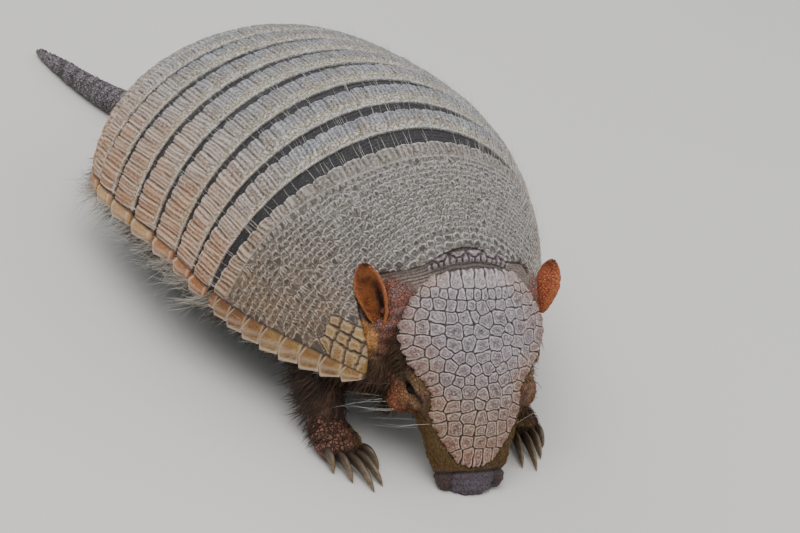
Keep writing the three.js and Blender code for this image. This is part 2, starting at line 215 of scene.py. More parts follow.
# A finish is a material whose nodes are made by short calls.
class Finish:
    def __init__(self, name):
        self.material = bpy.data.materials.new(name)
        self.material.use_nodes = True
        self.tree = self.material.node_tree
        self.shader = self.tree.nodes["Principled BSDF"]
        self.coords = self.add("ShaderNodeTexCoord").outputs["Object"]

    def add(self, kind, **settings):
        node = self.tree.nodes.new(kind)
        for name, value in settings.items():
            setattr(node, name, value)
        return node

    def join(self, value, socket):
        if isinstance(value, bpy.types.NodeSocket):
            self.tree.links.new(value, socket)
        else:
            socket.default_value = value

    def mark(self, name):
        return self.add("ShaderNodeAttribute", attribute_name=name).outputs["Fac"]

    def noise(self, scale, detail=4.0, rough=0.6, stretch=None):
        node = self.add("ShaderNodeTexNoise")
        node.inputs["Scale"].default_value = scale
        node.inputs["Detail"].default_value = detail
        node.inputs["Roughness"].default_value = rough
        source = self.coords
        if stretch:
            mapping = self.add("ShaderNodeMapping")
            mapping.inputs["Scale"].default_value = stretch
            self.join(source, mapping.inputs["Vector"])
            source = mapping.outputs["Vector"]
        self.join(source, node.inputs["Vector"])
        return node.outputs["Fac"]

    def cell(self, scale, feature="F1", out="Distance"):
        node = self.add("ShaderNodeTexVoronoi", feature=feature)
        node.inputs["Scale"].default_value = scale
        self.join(self.coords, node.inputs["Vector"])
        return node.outputs[out]

    def band(self, value, low, high, start=0.0, end=1.0):
        node = self.add("ShaderNodeMapRange", interpolation_type="SMOOTHSTEP")
        sockets = ("Value", "From Min", "From Max", "To Min", "To Max")
        for name, number in zip(sockets, (value, low, high, start, end)):
            self.join(number, node.inputs[name])
        return node.outputs[0]

    def sum(self, a, b, operation="ADD", clamp=False):
        node = self.add("ShaderNodeMath", operation=operation, use_clamp=clamp)
        self.join(a, node.inputs[0])
        self.join(b, node.inputs[1])
        return node.outputs[0]

    def times(self, a, b, clamp=False):
        return self.sum(a, b, "MULTIPLY", clamp)

    def mix(self, share, a, b, blend="MIX"):
        node = self.add("ShaderNodeMix", data_type="RGBA", blend_type=blend)
        for socket, value in ((node.inputs[0], share), (node.inputs[6], a), (node.inputs[7], b)):
            if isinstance(value, tuple) and len(value) == 3:
                value = (*value, 1.0)
            self.join(value, socket)
        return node.outputs[2]

    def bump(self, height, depth, under=None):
        node = self.add("ShaderNodeBump")
        node.inputs["Distance"].default_value = depth
        self.join(height, node.inputs["Height"])
        if under:
            self.join(under, node.inputs["Normal"])
        return node.outputs["Normal"]

    def done(self, colour, rough=0.6, normal=None, **settings):
        self.join((*colour, 1.0) if isinstance(colour, tuple) else colour, self.shader.inputs["Base Color"])
        self.join(rough, self.shader.inputs["Roughness"])
        if normal:
            self.join(normal, self.shader.inputs["Normal"])
        for name, value in settings.items():
            self.shader.inputs[name.replace("_", " ")].default_value = value
        return self.material


def hue(code):  # a colour written as six hexadecimal digits
    parts = [int(code[k:k + 2], 16) / 255 for k in (0, 2, 4)]
    return tuple(p / 12.92 if p <= 0.04045 else ((p + 0.055) / 1.055) ** 2.4 for p in parts)


# One mark carries the scutes' pale edges together with painted highlight on their raised rims and rib crests.
plateMarks = ("groove", "rim", "tone", "grain", "warm", "core", "marginal")


def plateFinish(name, look):
    f = Finish(name)
    groove, rim, tone, grain, warm, core, marginal = (f.mark(key) for key in plateMarks)
    side = f.mark("side")
    patch, fine, speckle = f.noise(look["patchScale"], 3), f.noise(1000, 5, 0.7), f.noise(2100, 3, 0.7)

    def paint(key):
        return hue(look[key])

    def sided(top, flank):  # one colour over the back and another low on the flanks
        return f.mix(side, paint(top), paint(flank))

    base = sided("top", "flank")
    base = f.mix(f.band(patch, 0.40, 0.62), base, sided("topPatch", "flankPatch"))
    base = f.mix(f.band(tone, 0.15, 0.9, 0.0, look["toneShare"]), base, sided("topTone", "flankTone"))
    warmShare = f.times(warm, f.band(fine, 0.38, 0.58, 0.15, look["warmShare"]))
    base = f.mix(warmShare, base, sided("warmTop", "warmFlank"))
    calm = f.band(side, 0.3, 1.0, 1.0, 0.55)  # less speckled low on the flanks
    base = f.mix(f.times(f.band(fine, 0.36, 0.5, look["dark"], 0.0), calm), base, paint("darkSpeck"))
    paleSpeck = f.times(f.band(fine, 0.54, 0.64, 0.0, look["pale"]), calm)
    base = f.mix(paleSpeck, base, sided("rimTop", "rimFlank"))
    grainTone = f.mix(f.band(speckle, 0.42, 0.56), paint("darkSpeck"), paint("goldSpeck"))
    grainTone = f.mix(f.band(fine, 0.5, 0.6), grainTone, paint("rimTop"))
    base = f.mix(f.times(grain, look["gold"]), base, grainTone)
    base = f.mix(f.times(core, look["coreShare"]), base, paint("coreTone"))
    # Pale scute edges, partly painted highlight on raised rims and rib crests.
    paleShare = f.times(f.times(rim, f.band(speckle, 0.34, 0.56, 0.4, 1.0)), look["rimShare"], True)
    base = f.mix(paleShare, base, sided("rimTop", "rimFlank"))
    edgeShare = f.sum(f.band(patch, 0.35, 0.65, -0.25, 0.25), tone, "ADD", True)
    edgeTone = f.mix(edgeShare, paint("margin"), paint("marginPale"))
    edgeTone = f.mix(f.band(fine, 0.36, 0.52, 0.6, 0.0), edgeTone, paint("marginDark"))
    edgeTone = f.mix(f.times(rim, 0.7), edgeTone, paint("rimFlank"))
    base = f.mix(f.times(marginal, 0.95), base, edgeTone)
    base = f.mix(f.times(groove, look["grooveShare"], True), base, paint("groove"))
    relief = f.bump(speckle, 0.00028, f.bump(fine, 0.0005))
    rough = f.band(fine, 0.3, 0.7, look["rough"] + 0.12, look["rough"] - 0.08)
    return f.done(base, rough, relief, Specular_IOR_Level=0.45)


# The shell is swept through cross-sections, from its front edge (0) to its rear edge (1).
shell = {
    "at": [0, 0.27, 0.45, 0.66, 0.84, 1],
    "y": [2, 58, 92, 165, 181, 190],
    "lean": [-1, -12, 2, 12, 48, 84],  # degrees to the rear
    "halfWidth": [42, 77, 88, 95, 84, 68],
    "rise": [54, 83, 85, 75, 60, 58],
    "margin": [38, 33, 38, 32, 34, 38],
    "sweep": [-13, -2, -2, -2, -1, 0],
    "roundness": 1.92,
    "thickness": 3.0,
    "scapularEnd": 0.3,
    "bandEnds": [0.37, 0.43, 0.49, 0.54, 0.59, 0.64, 0.69],
    "pelvicStart": 0.696,
    "firstFold": (0.24, 0.5),  # bare skin ahead of a band, as a share of it, at the side and on top
    "laterFold": (0.18, 0.36),
    "frontDrop": 1.0,  # a band starts this much lower, under the plate ahead
    "notch": (0.074, 0.21, 0.088, 0.009),  # behind the ears: depth, place, width, and arch over the nape
    "marginHeight": 6.4,  # of the lowest row of scutes
}


def shellSurface(s, t, below=0.0):
    s, t = np.asarray(s, float), np.asarray(t, float)
    keys = ("y", "lean", "halfWidth", "rise", "margin", "sweep")
    now = {key: along(shell["at"], shell[key], s) for key in keys}
    angle = np.pi * np.clip(t, 0, 1)
    bend = 2 / shell["roundness"]
    across = -np.sign(np.cos(angle)) * np.abs(np.cos(angle)) ** bend
    height = now["rise"] * np.maximum(np.sin(angle), 0) ** bend - below
    lean = np.radians(now["lean"])
    x = now["halfWidth"] * across
    y = now["y"] + height * np.sin(lean) + now["sweep"] * np.abs(across) ** 3
    return np.stack(np.broadcast_arrays(x, y, now["margin"] + height * np.cos(lean)), -1)


def shellFrame(s, t):  # tangent to the rear, tangent to the left, and normal
    step = 0.004
    s0, s1 = np.maximum(s - step, 0), np.minimum(s + step, 1)
    t0, t1 = np.maximum(t - step, 0), np.minimum(t + step, 1)
    rearward = shellSurface(s1, t) - shellSurface(s0, t)
    leftward = shellSurface(s, t1) - shellSurface(s, t0)
    speed = np.linalg.norm(rearward, axis=-1) / (s1 - s0)
    return unit(rearward), unit(leftward), unit(np.cross(leftward, rearward)), speed


def arcAt(s):  # the arch at s: shares t and how far along the arch each is, in millimetres
    t = np.linspace(0, 1, 361)
    p = shellSurface(np.full_like(t, s), t)
    return t, np.concatenate([[0], np.cumsum(np.linalg.norm(np.diff(p, axis=0), axis=1))])


edgeRings = 3  # rings of faces that turn under to make the wall of a plate's edge


def foldedGrid(name, columns, rows):
    wide, deep = columns + 2 * edgeRings, rows + 2 * edgeRings
    bpy.ops.mesh.primitive_grid_add(x_subdivisions=wide, y_subdivisions=deep, size=2)
    piece = bpy.context.object
    piece.name = piece.data.name = name
    flat = readPlaces(piece)
    i = np.rint((flat[:, 0] + 1) / 2 * wide).astype(int) - edgeRings
    j = np.rint((flat[:, 1] + 1) / 2 * deep).astype(int) - edgeRings
    ring = np.maximum.reduce([-i, i - columns, -j, j - rows, np.zeros_like(i)])
    return piece, np.clip(i / columns, 0, 1), np.clip(j / rows, 0, 1), ring


def shellPlate(name, columns, rows, startOf, endOf, relief):
    piece, u, v, ring = foldedGrid(name, columns, rows)
    centre = np.array([0.5])
    t, arc = arcAt(float((startOf(centre)[0] + endOf(centre)[0]) / 2))
    lip = ring == edgeRings
    u = np.where(lip, np.clip(u, 3 / arc[-1], 1 - 3 / arc[-1]), u)
    v = np.where(lip, np.clip(v, 0.15, 0.85), v)
    x = u * arc[-1]
    t = np.interp(x, arc, t)
    s = startOf(t) + (endOf(t) - startOf(t)) * v
    rearward, _, normal, speed = shellFrame(s, t)
    shape = relief({"u": u, "v": v, "x": x, "width": arc[-1], "s": s, "t": t, "rearward": rearward})
    s = np.clip(s + shape.get("back", 0) / speed, 0, 1.03)
    depth = np.choose(ring, [0, 0.3, 0.75, 1.0]) * shell["thickness"]
    lift = shape["lift"] * np.where(ring == 0, 1, 0.5)
    points = shellSurface(s, t, shape.get("below", 0)) + normal * (lift - depth)[:, None]
    writePlaces(piece, toFrame(points))
    side = ease(0.38, 0.92, np.abs(2 * u - 1) + 0.05 * smoothNoise(points, 14, 3))
    mark(piece, side=side, **{key: shape.get(key, 0.0) for key in plateMarks})
    return piece


def ribbedRow(where, q, long, number):  # one row of scutes with ribs; q runs from its front to its rear
    foot = shell["marginHeight"]
    x, width, u = where["x"], where["width"], where["u"]
    count = round((width - 2 * foot) / 6.3)
    across = (x - foot) / (width - 2 * foot) * count
    across = (across + 0.03 * np.sin(q * 5 + number + np.floor(across) * 1.7)
              + 0.07 * np.sin(np.floor(across + 0.5) * 2.4 + number))
    k = np.floor(across)
    f = across - k
    pitch = (width - 2 * foot) / count
    side = ease(0.3, 0.75, np.abs(2 * u - 1))
    luck, inward = chance(k, number, 1), 1 - (2 * f - 1) ** 2
    zone = ease(0.32, 0.52, q + 0.2 * (luck - 0.5) + 0.08 * inward + 0.26 * side)
    ribs = 3 + np.floor(chance(k, number, 2) * 1.6)
    wave = f * ribs + 0.05 * np.sin(q * 5 + k * 2.1) + 0.35 * side * (q - 0.5)
    valley = np.abs(wave - np.rint(wave)) * pitch / ribs  # distance to the nearest valley between ribs
    crest = bell(pitch / ribs / 2 - valley, 0.4)
    dip = bell(valley, 0.30)
    sep = bell(np.minimum(f, 1 - f) * pitch, 0.30)
    near, pebble = cells(x / 1.15, q * long / 1.15, 3)
    granule = 1 - np.clip(near * 1.5, 0, 1) ** 2
    drop = chance(np.floor(wave) + k * 5, number, 6)
    lift = 0.30 * zone - zone * (0.26 + 0.12 * side) * dip * (0.5 + 0.5 * drop)
    lift -= 0.32 * sep * (0.5 + 0.5 * zone)
    lift += (1 - zone) * 0.42 * (granule - 0.45) + 0.3 * (luck - 0.5) + 0.25 * inward * zone
    lift -= 0.85 * ease(0.88, 1.0, q) ** 2
    back = ease(0.6, 1.0, q) * (0.95 * inward**0.8 - 0.45 + 0.5 * (chance(k, number, 4) - 0.5) + 0.14 * crest)
    # Pale rear edge of each scute, and painted highlight along the rib crests, stronger on the flanks.
    rim = bell((1 - q) * long - 0.4, 0.34) + zone * crest * (0.3 + 0.9 * side) * (0.25 + 0.75 * drop)
    rim += 0.5 * bell(q * long - 0.4, 0.4)
    groove = np.maximum(0.9 * sep * (0.35 + 0.65 * zone), (0.6 - 0.15 * side) * dip * zone)
    return {
        "lift": lift, "back": back, "groove": np.clip(groove, 0, 1), "rim": np.clip(rim, 0, 1), "tone": luck,
        "grain": np.clip((1 - zone) * (0.55 + 0.45 * pebble), 0, 1),
        "warm": np.clip(bell(q - 0.45, 0.26) * (0.2 + 0.8 * luck) + side * (0.4 + 0.6 * dip), 0, 1),
    }


def blended(one, two, share):
    return {key: one[key] * (1 - share) + two[key] * share for key in one}


def withMargin(where, shape, q, number, gap=None, sag=0.0, tone=None):  # adds the lowest row of scutes
    foot = shell["marginHeight"]
    fromEdge = np.minimum(where["x"], where["width"] - where["x"])
    share = np.clip(1 - fromEdge / foot, 0, 1)
    inside = ease(-0.3, 0.5, foot - fromEdge)
    plain = 1 - inside
    tooth = (2.6 * q**1.3 * (1 - ease(0.93, 1.0, q) * 0.25) - 0.5) * share**2
    domed = 0.75 * (1 - (2 * q - 1) ** 4) * (1 - share**4)
    crease = bell(fromEdge - foot, 0.5)
    line = 0 * inside if gap is None else bell(gap, 0.5) * inside  # gap is the distance to the next scute
    ridge = bell(share - 0.45 - 0.2 * q, 0.12) * ease(0.1, 0.3, q) * (1 - ease(0.75, 0.95, q))
    shape["lift"] = shape["lift"] * plain + inside * (domed + 0.25 * ridge) - 0.45 * crease - 0.5 * line
    shape["back"] = shape["back"] * plain + inside * 2.2 * ease(0.4, 1, q) * (1 - np.abs(2 * share - 1.1))
    shape["below"] = tooth * inside + sag * share**1.2
    shape["tone"] = shape["tone"] * plain + inside * (chance(number + 0 * q, 5) if tone is None else tone)
    shape["groove"] = np.clip(shape["groove"] * plain + crease + line, 0, 1)
    outline = bell(share - 0.93, 0.07) + 0.7 * bell(q * 9 - 1.1, 0.4) + bell((1 - q) * 9 - 0.9, 0.4)
    outline = inside * (outline + 0.4 * ridge)
    shape["rim"] = np.clip(shape["rim"] * plain + outline, 0, 1)
    for key in ("grain", "warm", "core"):
        if key in shape:
            shape[key] = shape[key] * plain
    shape["marginal"] = np.maximum(inside, shape.get("marginal", 0.0))
    return shape


def bandRelief(number, long):
    def relief(where):
        shape = ribbedRow(where, where["v"], long, number)
        shape["lift"] = shape["lift"] - shell["frontDrop"] * (1 - where["v"]) ** 2
        return withMargin(where, shape, where["v"], number)
    return relief


def pelvicRelief(rows, long):
    def relief(where):
        row = np.minimum(np.floor(where["v"] * rows), rows - 1)
        q = where["v"] * rows - row
        shape = ribbedRow(where, q, long / rows, row + 20)
        gap = np.minimum(q, 1 - q) * long / rows
        line = bell(gap, 0.5) * (where["v"] > 0.02) * (where["v"] < 0.98)
        shape["lift"] = shape["lift"] + 0.8 * (q - 0.5) - 0.5 * line
        shape["groove"] = np.maximum(shape["groove"], line)
        last = (row == rows - 1)  # scutes of the rear edge, pointed and horn-coloured
        shape["back"] = 2.0 * shape["back"] * last + 0.35 * shape["back"] * ~last
        shape["marginal"] = 0.75 * last
        return withMargin(where, shape, q, 9, gap)
    return relief


def scuteSeeds(rows):  # rows of (s, spacing, shift): points of the shell where scutes are centred
    seeds, foot = [], shell["marginHeight"]
    for s, spacing, shift in rows:
        t, arc = arcAt(s)
        width = arc[-1] - 2 * foot
        count = round(width / spacing)
        places = foot + (np.arange(count) + 0.5 + shift) * width / count
        places += spacing * 0.16 * (rand.random(count) - 0.5)
        ts = np.interp(places, arc, t)
        ss = np.clip(s + 0.004 * (rand.random(count) - 0.5), 0, 1)
        if spacing < 4:  # a few are left out, and their neighbours grow
            kept = rand.random(count) > 0.13
            ss, ts = ss[kept], ts[kept]
        seeds.append(shellSurface(ss, ts))
    return np.concatenate(seeds)


def cornerSeeds():  # larger scutes in the front lower corners
    seeds = []
    for number, s in enumerate((0.002, 0.027, 0.051, 0.074)):
        t, arc = arcAt(s)
        places = shell["marginHeight"] + (np.arange(4 - number // 2) + 0.5 + 0.12 * number) * 5.2
        for each in (places, arc[-1] - places):
            each = each + 0.9 * (rand.random(len(each)) - 0.5)
            ss = np.full(len(each), s) + 0.004 * rand.random(len(each))
            seeds.append(shellSurface(ss, np.interp(each, arc, t)))
    return np.concatenate(seeds)


def roundedRelief(seeds, corner, look):
    nearCorner = np.linalg.norm(seeds[:, None] - corner[None], axis=2).min(1) < 3.6
    seeds = np.concatenate([seeds[~nearCorner], corner])
    cornerFrom = len(seeds) - len(corner)

    def relief(where):
        base = shellSurface(where["s"], where["t"])
        wobble = np.stack([smoothNoise(base, 1.8, k) for k in (1, 2, 3)], 1) * look["wobble"]
        d, first = nearestTwo(base + wobble, seeds)
        large = (first >= cornerFrom).astype(float)
        offset = base - seeds[first]
        rearSide = np.sum(offset * where["rearward"], 1)
        luck = chance(first, 3)
        sep = bell(d, look["grooveWidth"] * (1 + 1.3 * large))
        # Pale arc on the rear side of each scute: its pale edge, partly painted highlight on the raised rim.
        arched = bell(d - look["rimAt"], look["rimWidth"]) * (0.1 + 0.9 * ease(-0.5, 1.0, rearSide))
        arched = arched * (1 - 0.5 * large)
        core = (1 - arched) * ease(0.4, 0.9, d) * (0.55 + 0.45 * luck) * (1 - large)
        near, pebble = cells(where["x"] / 0.95, where["v"] * look["length"] / 0.95, 4)
        lift = look["dome"] * (1 + large) * (1 - np.exp(-np.maximum(d, 0) / 0.5))
        lift -= look["grooveDepth"] * (1 + large) * sep
        lift += look["rimLift"] * arched - 0.2 * core + 0.3 * (luck - 0.5) + 0.2 * (0.5 - near) * (1 - large)
        shape = {
            "lift": lift, "back": 0 * lift, "groove": sep * (0.75 + 0.25 * large),
            "rim": np.clip(arched + 0.5 * large * bell(d - 1.3, 0.35), 0, 1),
            "tone": luck * (1 - large) + large * (0.5 + 0.5 * luck),
            "grain": 0.4 * pebble * (1 - large), "warm": 0.5 * (chance(first, 9) > 0.7), "core": core,
            "marginal": large * (1 - sep) * (0.7 + 0.3 * luck),
        }
        fromRear = (1 - where["v"]) * look["length"]
        last = ribbedRow(where, np.clip(1 - fromRear / look["rearRow"], 0, 1), look["rearRow"], 14)
        last["core"] = last["marginal"] = 0 * lift
        last["warm"] = np.clip(0.55 + 0.45 * last["warm"] - 0.5 * last["grain"], 0, 1)
        last["grain"] = last["grain"] * 0.4
        shape = blended(shape, last, ease(look["rearRow"] + 0.5, look["rearRow"] - 0.6, fromRear))
        shape["groove"] = np.maximum(shape["groove"], 0.8 * bell(fromRear - look["rearRow"], 0.35))
        shape["lift"] = shape["lift"] - look["frontRound"] * (1 - ease(0, 0.03, where["v"]))
        row = where["v"] * look["marginRow"] + 0.02
        q = np.modf(row)[0]
        sag = 5.5 * np.sin(np.pi * where["v"] ** 0.8) - 2.0 * (1 - where["v"]) ** 4
        tone = np.clip(0.85 - 1.1 * where["v"] + 0.5 * (chance(np.floor(row), 5) - 0.5), 0, 1)
        gap = np.minimum(q, 1 - q) * look["length"] / look["marginRow"]
        return withMargin(where, shape, q, 0, gap, sag, tone)
    return relief


def bandStart(start, end, fold):
    side, top = fold
    return lambda t: start + (end - start) * (side + (top - side) * np.sin(np.pi * t) ** 1.5)


bandLook = {
    "top": "888991", "topPatch": "9c9ba2", "topTone": "72706f", "flank": "95745e", "flankPatch": "ad8468",
    "flankTone": "9a6648", "toneShare": 0.5, "patchScale": 90, "darkSpeck": "352d28", "dark": 0.9,
    "pale": 0.75, "warmShare": 0.75, "warmTop": "a8946c", "warmFlank": "b8763c", "coreShare": 0.9,
    "coreTone": "40352f", "goldSpeck": "cdb98a", "gold": 0.85, "rimTop": "e9ebef", "rimFlank": "f0dcc6",
    "rimShare": 0.85, "margin": "b26f3c", "marginPale": "cfa36c", "marginDark": "7a4a26",
    "groove": "2b2524", "grooveShare": 0.85, "rough": 0.5,
}
scapularLook = dict(
    bandLook, top="7f7976", topPatch="918b88", topTone="68605c", flank="765f4f", flankPatch="8a7059",
    flankTone="66503f", rimTop="eae6e2", rimFlank="e6d2b8", rimShare=0.95, grooveShare=0.7, gold=0.6,
    warmTop="8d7c66", warmFlank="a4704a", groove="2c2421", margin="824d22", marginPale="b3904f",
    marginDark="4e3217", pale=0.5)
bandSkin = plateFinish("bandPlate", bandLook)
plateEnds = [shell["scapularEnd"], *shell["bandEnds"]]


def endAt(share):
    return lambda t: np.full_like(t, share)


for number in range(7):
    fold = shell["firstFold"] if number == 0 else shell["laterFold"]
    start, end = bandStart(plateEnds[number], plateEnds[number + 1], fold), plateEnds[number + 1]
    length = float(np.linalg.norm(shellSurface(end, 0.5) - shellSurface(start(np.array(0.5)), 0.5)))
    piece = shellPlate(f"band{number + 1}", 570, 32, start, endAt(end), bandRelief(number, length))
    finished(piece, bandSkin, "shell", f"band_{number + 1}")
print("bands made")


def shellFront(t):  # the front edge gives way behind each ear and over the nape
    depth, at, width, arch = shell["notch"]
    return depth * (bell(t - at, width) + bell(t - 1 + at, width)) + arch * bell(t - 0.5, 0.12)


scapularRows = [(s, 2.9, 0.5 * (k % 2)) for k, s in enumerate(np.arange(0.262, 0.045, -0.0128))]
scapularRows += [(0.036, 4.0, 0), (0.018, 4.4, 0.5), (-0.002, 4.4, 0)]
scapularSize = {
    "wobble": 0.3, "grooveWidth": 0.22, "grooveDepth": 0.34, "rimAt": 0.46, "rimWidth": 0.27, "dome": 0.36,
    "rimLift": 0.34, "length": 60, "rearRow": 7.2, "frontRound": 0.8, "marginRow": 8.5,
}
scapular = shellPlate(
    "scapularShield", 640, 146, shellFront, endAt(shell["scapularEnd"]),
    roundedRelief(scuteSeeds(scapularRows), cornerSeeds(), scapularSize))
finished(scapular, plateFinish("scapularPlate", scapularLook), "shell", "scapular_shield")
print("scapular shield made")

pelvicRows = {"count": 11, "length": 95}
pelvic = shellPlate(
    "pelvicShield", 430, 176, endAt(shell["pelvicStart"]), endAt(1.0),
    pelvicRelief(pelvicRows["count"], pelvicRows["length"]))
finished(pelvic, plateFinish("pelvicPlate", bandLook), "shell", "pelvic_shield")
print("pelvic shield made")

# The head has a frame of its own: a from the back of the head to the nose, b to the left, c up.
headPlace = {"origin": (2.7, -10.4, 86.8), "yaw": 2.9, "pitch": 59.7, "roll": 5.6}


def headAxes():
    yaw, pitch, roll = np.radians([headPlace["yaw"], headPlace["pitch"], headPlace["roll"]])
    forward = np.array([-np.sin(yaw) * np.cos(pitch), -np.cos(yaw) * np.cos(pitch), -np.sin(pitch)])
    level = np.array([np.cos(yaw), -np.sin(yaw), 0])
    left = level * np.cos(roll) + np.cross(forward, level) * np.sin(roll)
    return np.stack([forward, left, np.cross(forward, left)])


axes = headAxes()


def fromHead(abc):
    return np.asarray(headPlace["origin"]) + np.asarray(abc, float) @ axes


def inHead(points):
    return (points - np.asarray(headPlace["origin"])) @ axes.T


crown = {
    "at": [0, 9.3, 23, 35, 46.5, 58, 70, 77.5],
    "halfWidth": [19, 27, 32.5, 29, 21.2, 19.6, 13.8, 8.2],
    "arch": 9.1, "sag": 0.36, "length": 77.5, "thickness": 1.8,
}


def crownSurface(a, b):
    halfWidth = along(crown["at"], crown["halfWidth"], np.clip(a, 0, crown["length"]))
    w = b / halfWidth
    rise = -crown["arch"] * ((a / crown["length"] - 0.35) / 0.65) ** 2
    return np.stack([a, b, rise - crown["sag"] * halfWidth * w * w], -1)


def crownNormal(a, b):
    da = crownSurface(a + 0.3, b) - crownSurface(a - 0.3, b)
    db = crownSurface(a, b + 0.3) - crownSurface(a, b - 0.3)
    return unit(np.cross(da, db))


def flatBorders(points, seeds, weights):  # nearestTwo for a flat pattern; a weight makes a scute larger
    d = np.linalg.norm(points[:, None, :] - seeds[None], axis=2) - weights
    order = np.argsort(d, axis=1)[:, :2]
    rows = np.arange(len(points))
    return (d[rows, order[:, 1]] - d[rows, order[:, 0]]) / 2, order[:, 0]


def flatNoise(flat, scale, seed):
    return smoothNoise(np.c_[flat, flat[:, 0] * 0], scale, seed)


def edgeWall(ring, u, v, shortest, narrowest):  # the last ring closes the underside a little inside the edge
    lip = ring == edgeRings
    u = np.where(lip, np.clip(u, shortest, 1 - shortest), u)
    return u, np.where(lip, np.clip(v, narrowest, 1 - narrowest), v)


def edgeDrop(u, w, long, halfWidth, reach):  # 1 at the edge of a plate, 0 further in than reach
    fromEdge = np.minimum.reduce([u * long, (1 - u) * long, (1 - np.abs(w)) * halfWidth])
    return 1 - ease(0, reach, fromEdge)


headRows = [  # a, spacing, jitter, shift
    (3.2, 5.6, 0.1, 0.5), (8.4, 3.2, 0.35, 0), (12.4, 4.8, 0.5, 0.5), (17.6, 5.4, 0.5, 0),
    (23.0, 5.8, 0.45, 0.5), (28.4, 5.6, 0.45, 0), (33.4, 5.4, 0.5, 0.5), (38.2, 5.4, 0.5, 0),
    (43.2, 5.6, 0.4, 0.5), (48.2, 5.8, 0.4, 0), (53.4, 5.6, 0.35, 0.5), (58.4, 5.6, 0.35, 0),
    (63.6, 5.8, 0.25, 0.5), (69.0, 5.4, 0.2, 0), (74.6, 5.2, 0.08, 0.5),
]


def headSeeds():
    seeds = []
    for a, spacing, jitter, shift in headRows:
        halfWidth = float(along(crown["at"], crown["halfWidth"], np.array(a)))
        count = max(3, round(2 * halfWidth / spacing))
        if shift and count % 2 == 0:
            count += 1
        for k in range(count):
            b = (-1 + (2 * k + 1) / count) * halfWidth
            stray = spacing * jitter
            ahead = a + stray * (rand.random() - 0.5) - 0.0035 * b * b
            seeds.append((ahead, b + stray * (rand.random() - 0.5)))
    return np.array(seeds)


def crownPlate():
    piece, u, v, ring = foldedGrid("headShield", 270, 220)
    u, v = edgeWall(ring, u, v, 0.03, 0.05)
    w = 2 * v - 1
    a = crown["length"] * u + (1 - w * w) * np.where(u < 0.5, -2.2, 2.2) * np.abs(2 * u - 1) ** 3
    halfWidth = along(crown["at"], crown["halfWidth"], crown["length"] * u)
    edge = np.abs(w) ** 10 * (1.1 * np.abs(np.sin(np.pi * (a - 1) / 5.3)) - 0.5)
    b = w * (halfWidth + edge)
    a = a + np.abs(2 * u - 1) ** 14 * np.sign(u - 0.5) * (0.9 * np.abs(np.sin(np.pi * b / 5.1)) - 0.4)
    seeds = headSeeds()
    flat = np.stack([a, b], 1)
    wobble = np.stack([flatNoise(flat, 2.6, k) for k in (4, 5)], 1) * 0.22
    weights = 1.3 * chance(np.arange(len(seeds)), 31) * (seeds[:, 0] > 10)
    d, first = flatBorders(flat + wobble, seeds, weights)
    luck = chance(first, 8)
    spread = np.linalg.norm(flat - seeds[first], axis=1)
    sep = bell(d, 0.2)
    # Pale scute edges, partly painted highlight on the raised rims.
    arched = bell(d - 0.48, 0.22) + 0.55 * bell(d - 1.4, 0.28) * (0.5 + 0.5 * flatNoise(flat, 3, 7))
    pits = np.clip(cells(a / 0.95, b / 0.95, 6)[0] * 1.5, 0, 1) ** 2
    ringed = np.cos(2 * np.pi * spread / 1.5) * ease(0.4, 1.2, d)
    lift = 0.42 * (1 - np.exp(-np.maximum(d, 0) / 0.8)) - 0.55 * sep + 0.2 * arched + 0.3 * (luck - 0.5)
    lift += 0.09 * ringed - 0.16 * pits * ease(0.6, 1.4, d) + 0.14 * flatNoise(flat, 1.6, 9)
    lift -= 0.9 * edgeDrop(u, w, crown["length"], halfWidth, 1.3)
    depth = np.choose(ring, [0, 0.35, 0.8, 1.0]) * crown["thickness"]
    points = crownSurface(a, b) + crownNormal(a, b) * (lift * (ring == 0) - depth)[:, None]
    writePlaces(piece, toFrame(fromHead(points)))
    rear = 1 - ease(4.5, 8, a)
    sides = ease(0.45, 0.95, np.abs(w) + 0.12 * flatNoise(flat, 9, 2))
    mark(piece, groove=sep, rim=np.clip(arched + 0.25 * rear, 0, 1), tone=luck, grain=pits * 0.6,
         side=np.clip(sides * 0.6 + ease(28, 66, a), 0, 1), marginal=0.0, core=0.0,
         warm=np.clip(0.8 * rear * (a > 0) + sides * 0.7 + ease(64, 74, a), 0, 1))
    return piece


headLook = dict(
    bandLook, top="746870", topPatch="85767e", topTone="6e585e", flank="6f4d3f", flankPatch="85644f",
    flankTone="664536", rimTop="e8e0e2", rimFlank="dcc4ae", rimShare=0.75, groove="2c1c1a", grooveShare=0.9,
    gold=0.65, rough=0.45, goldSpeck="b5a69c", patchScale=140, warmTop="a98a88", warmFlank="94583f", dark=0.6,
    pale=0.45)
headPlateSkin = plateFinish("headPlate", headLook)
finished(crownPlate(), headPlateSkin, "shell", "head_shield")

nuchal = {
    "from": -10, "to": -5.5, "halfWidth": 18, "shift": -2.5, "arch": 0.0125, "lift": 0.5, "thickness": 2.4,
}


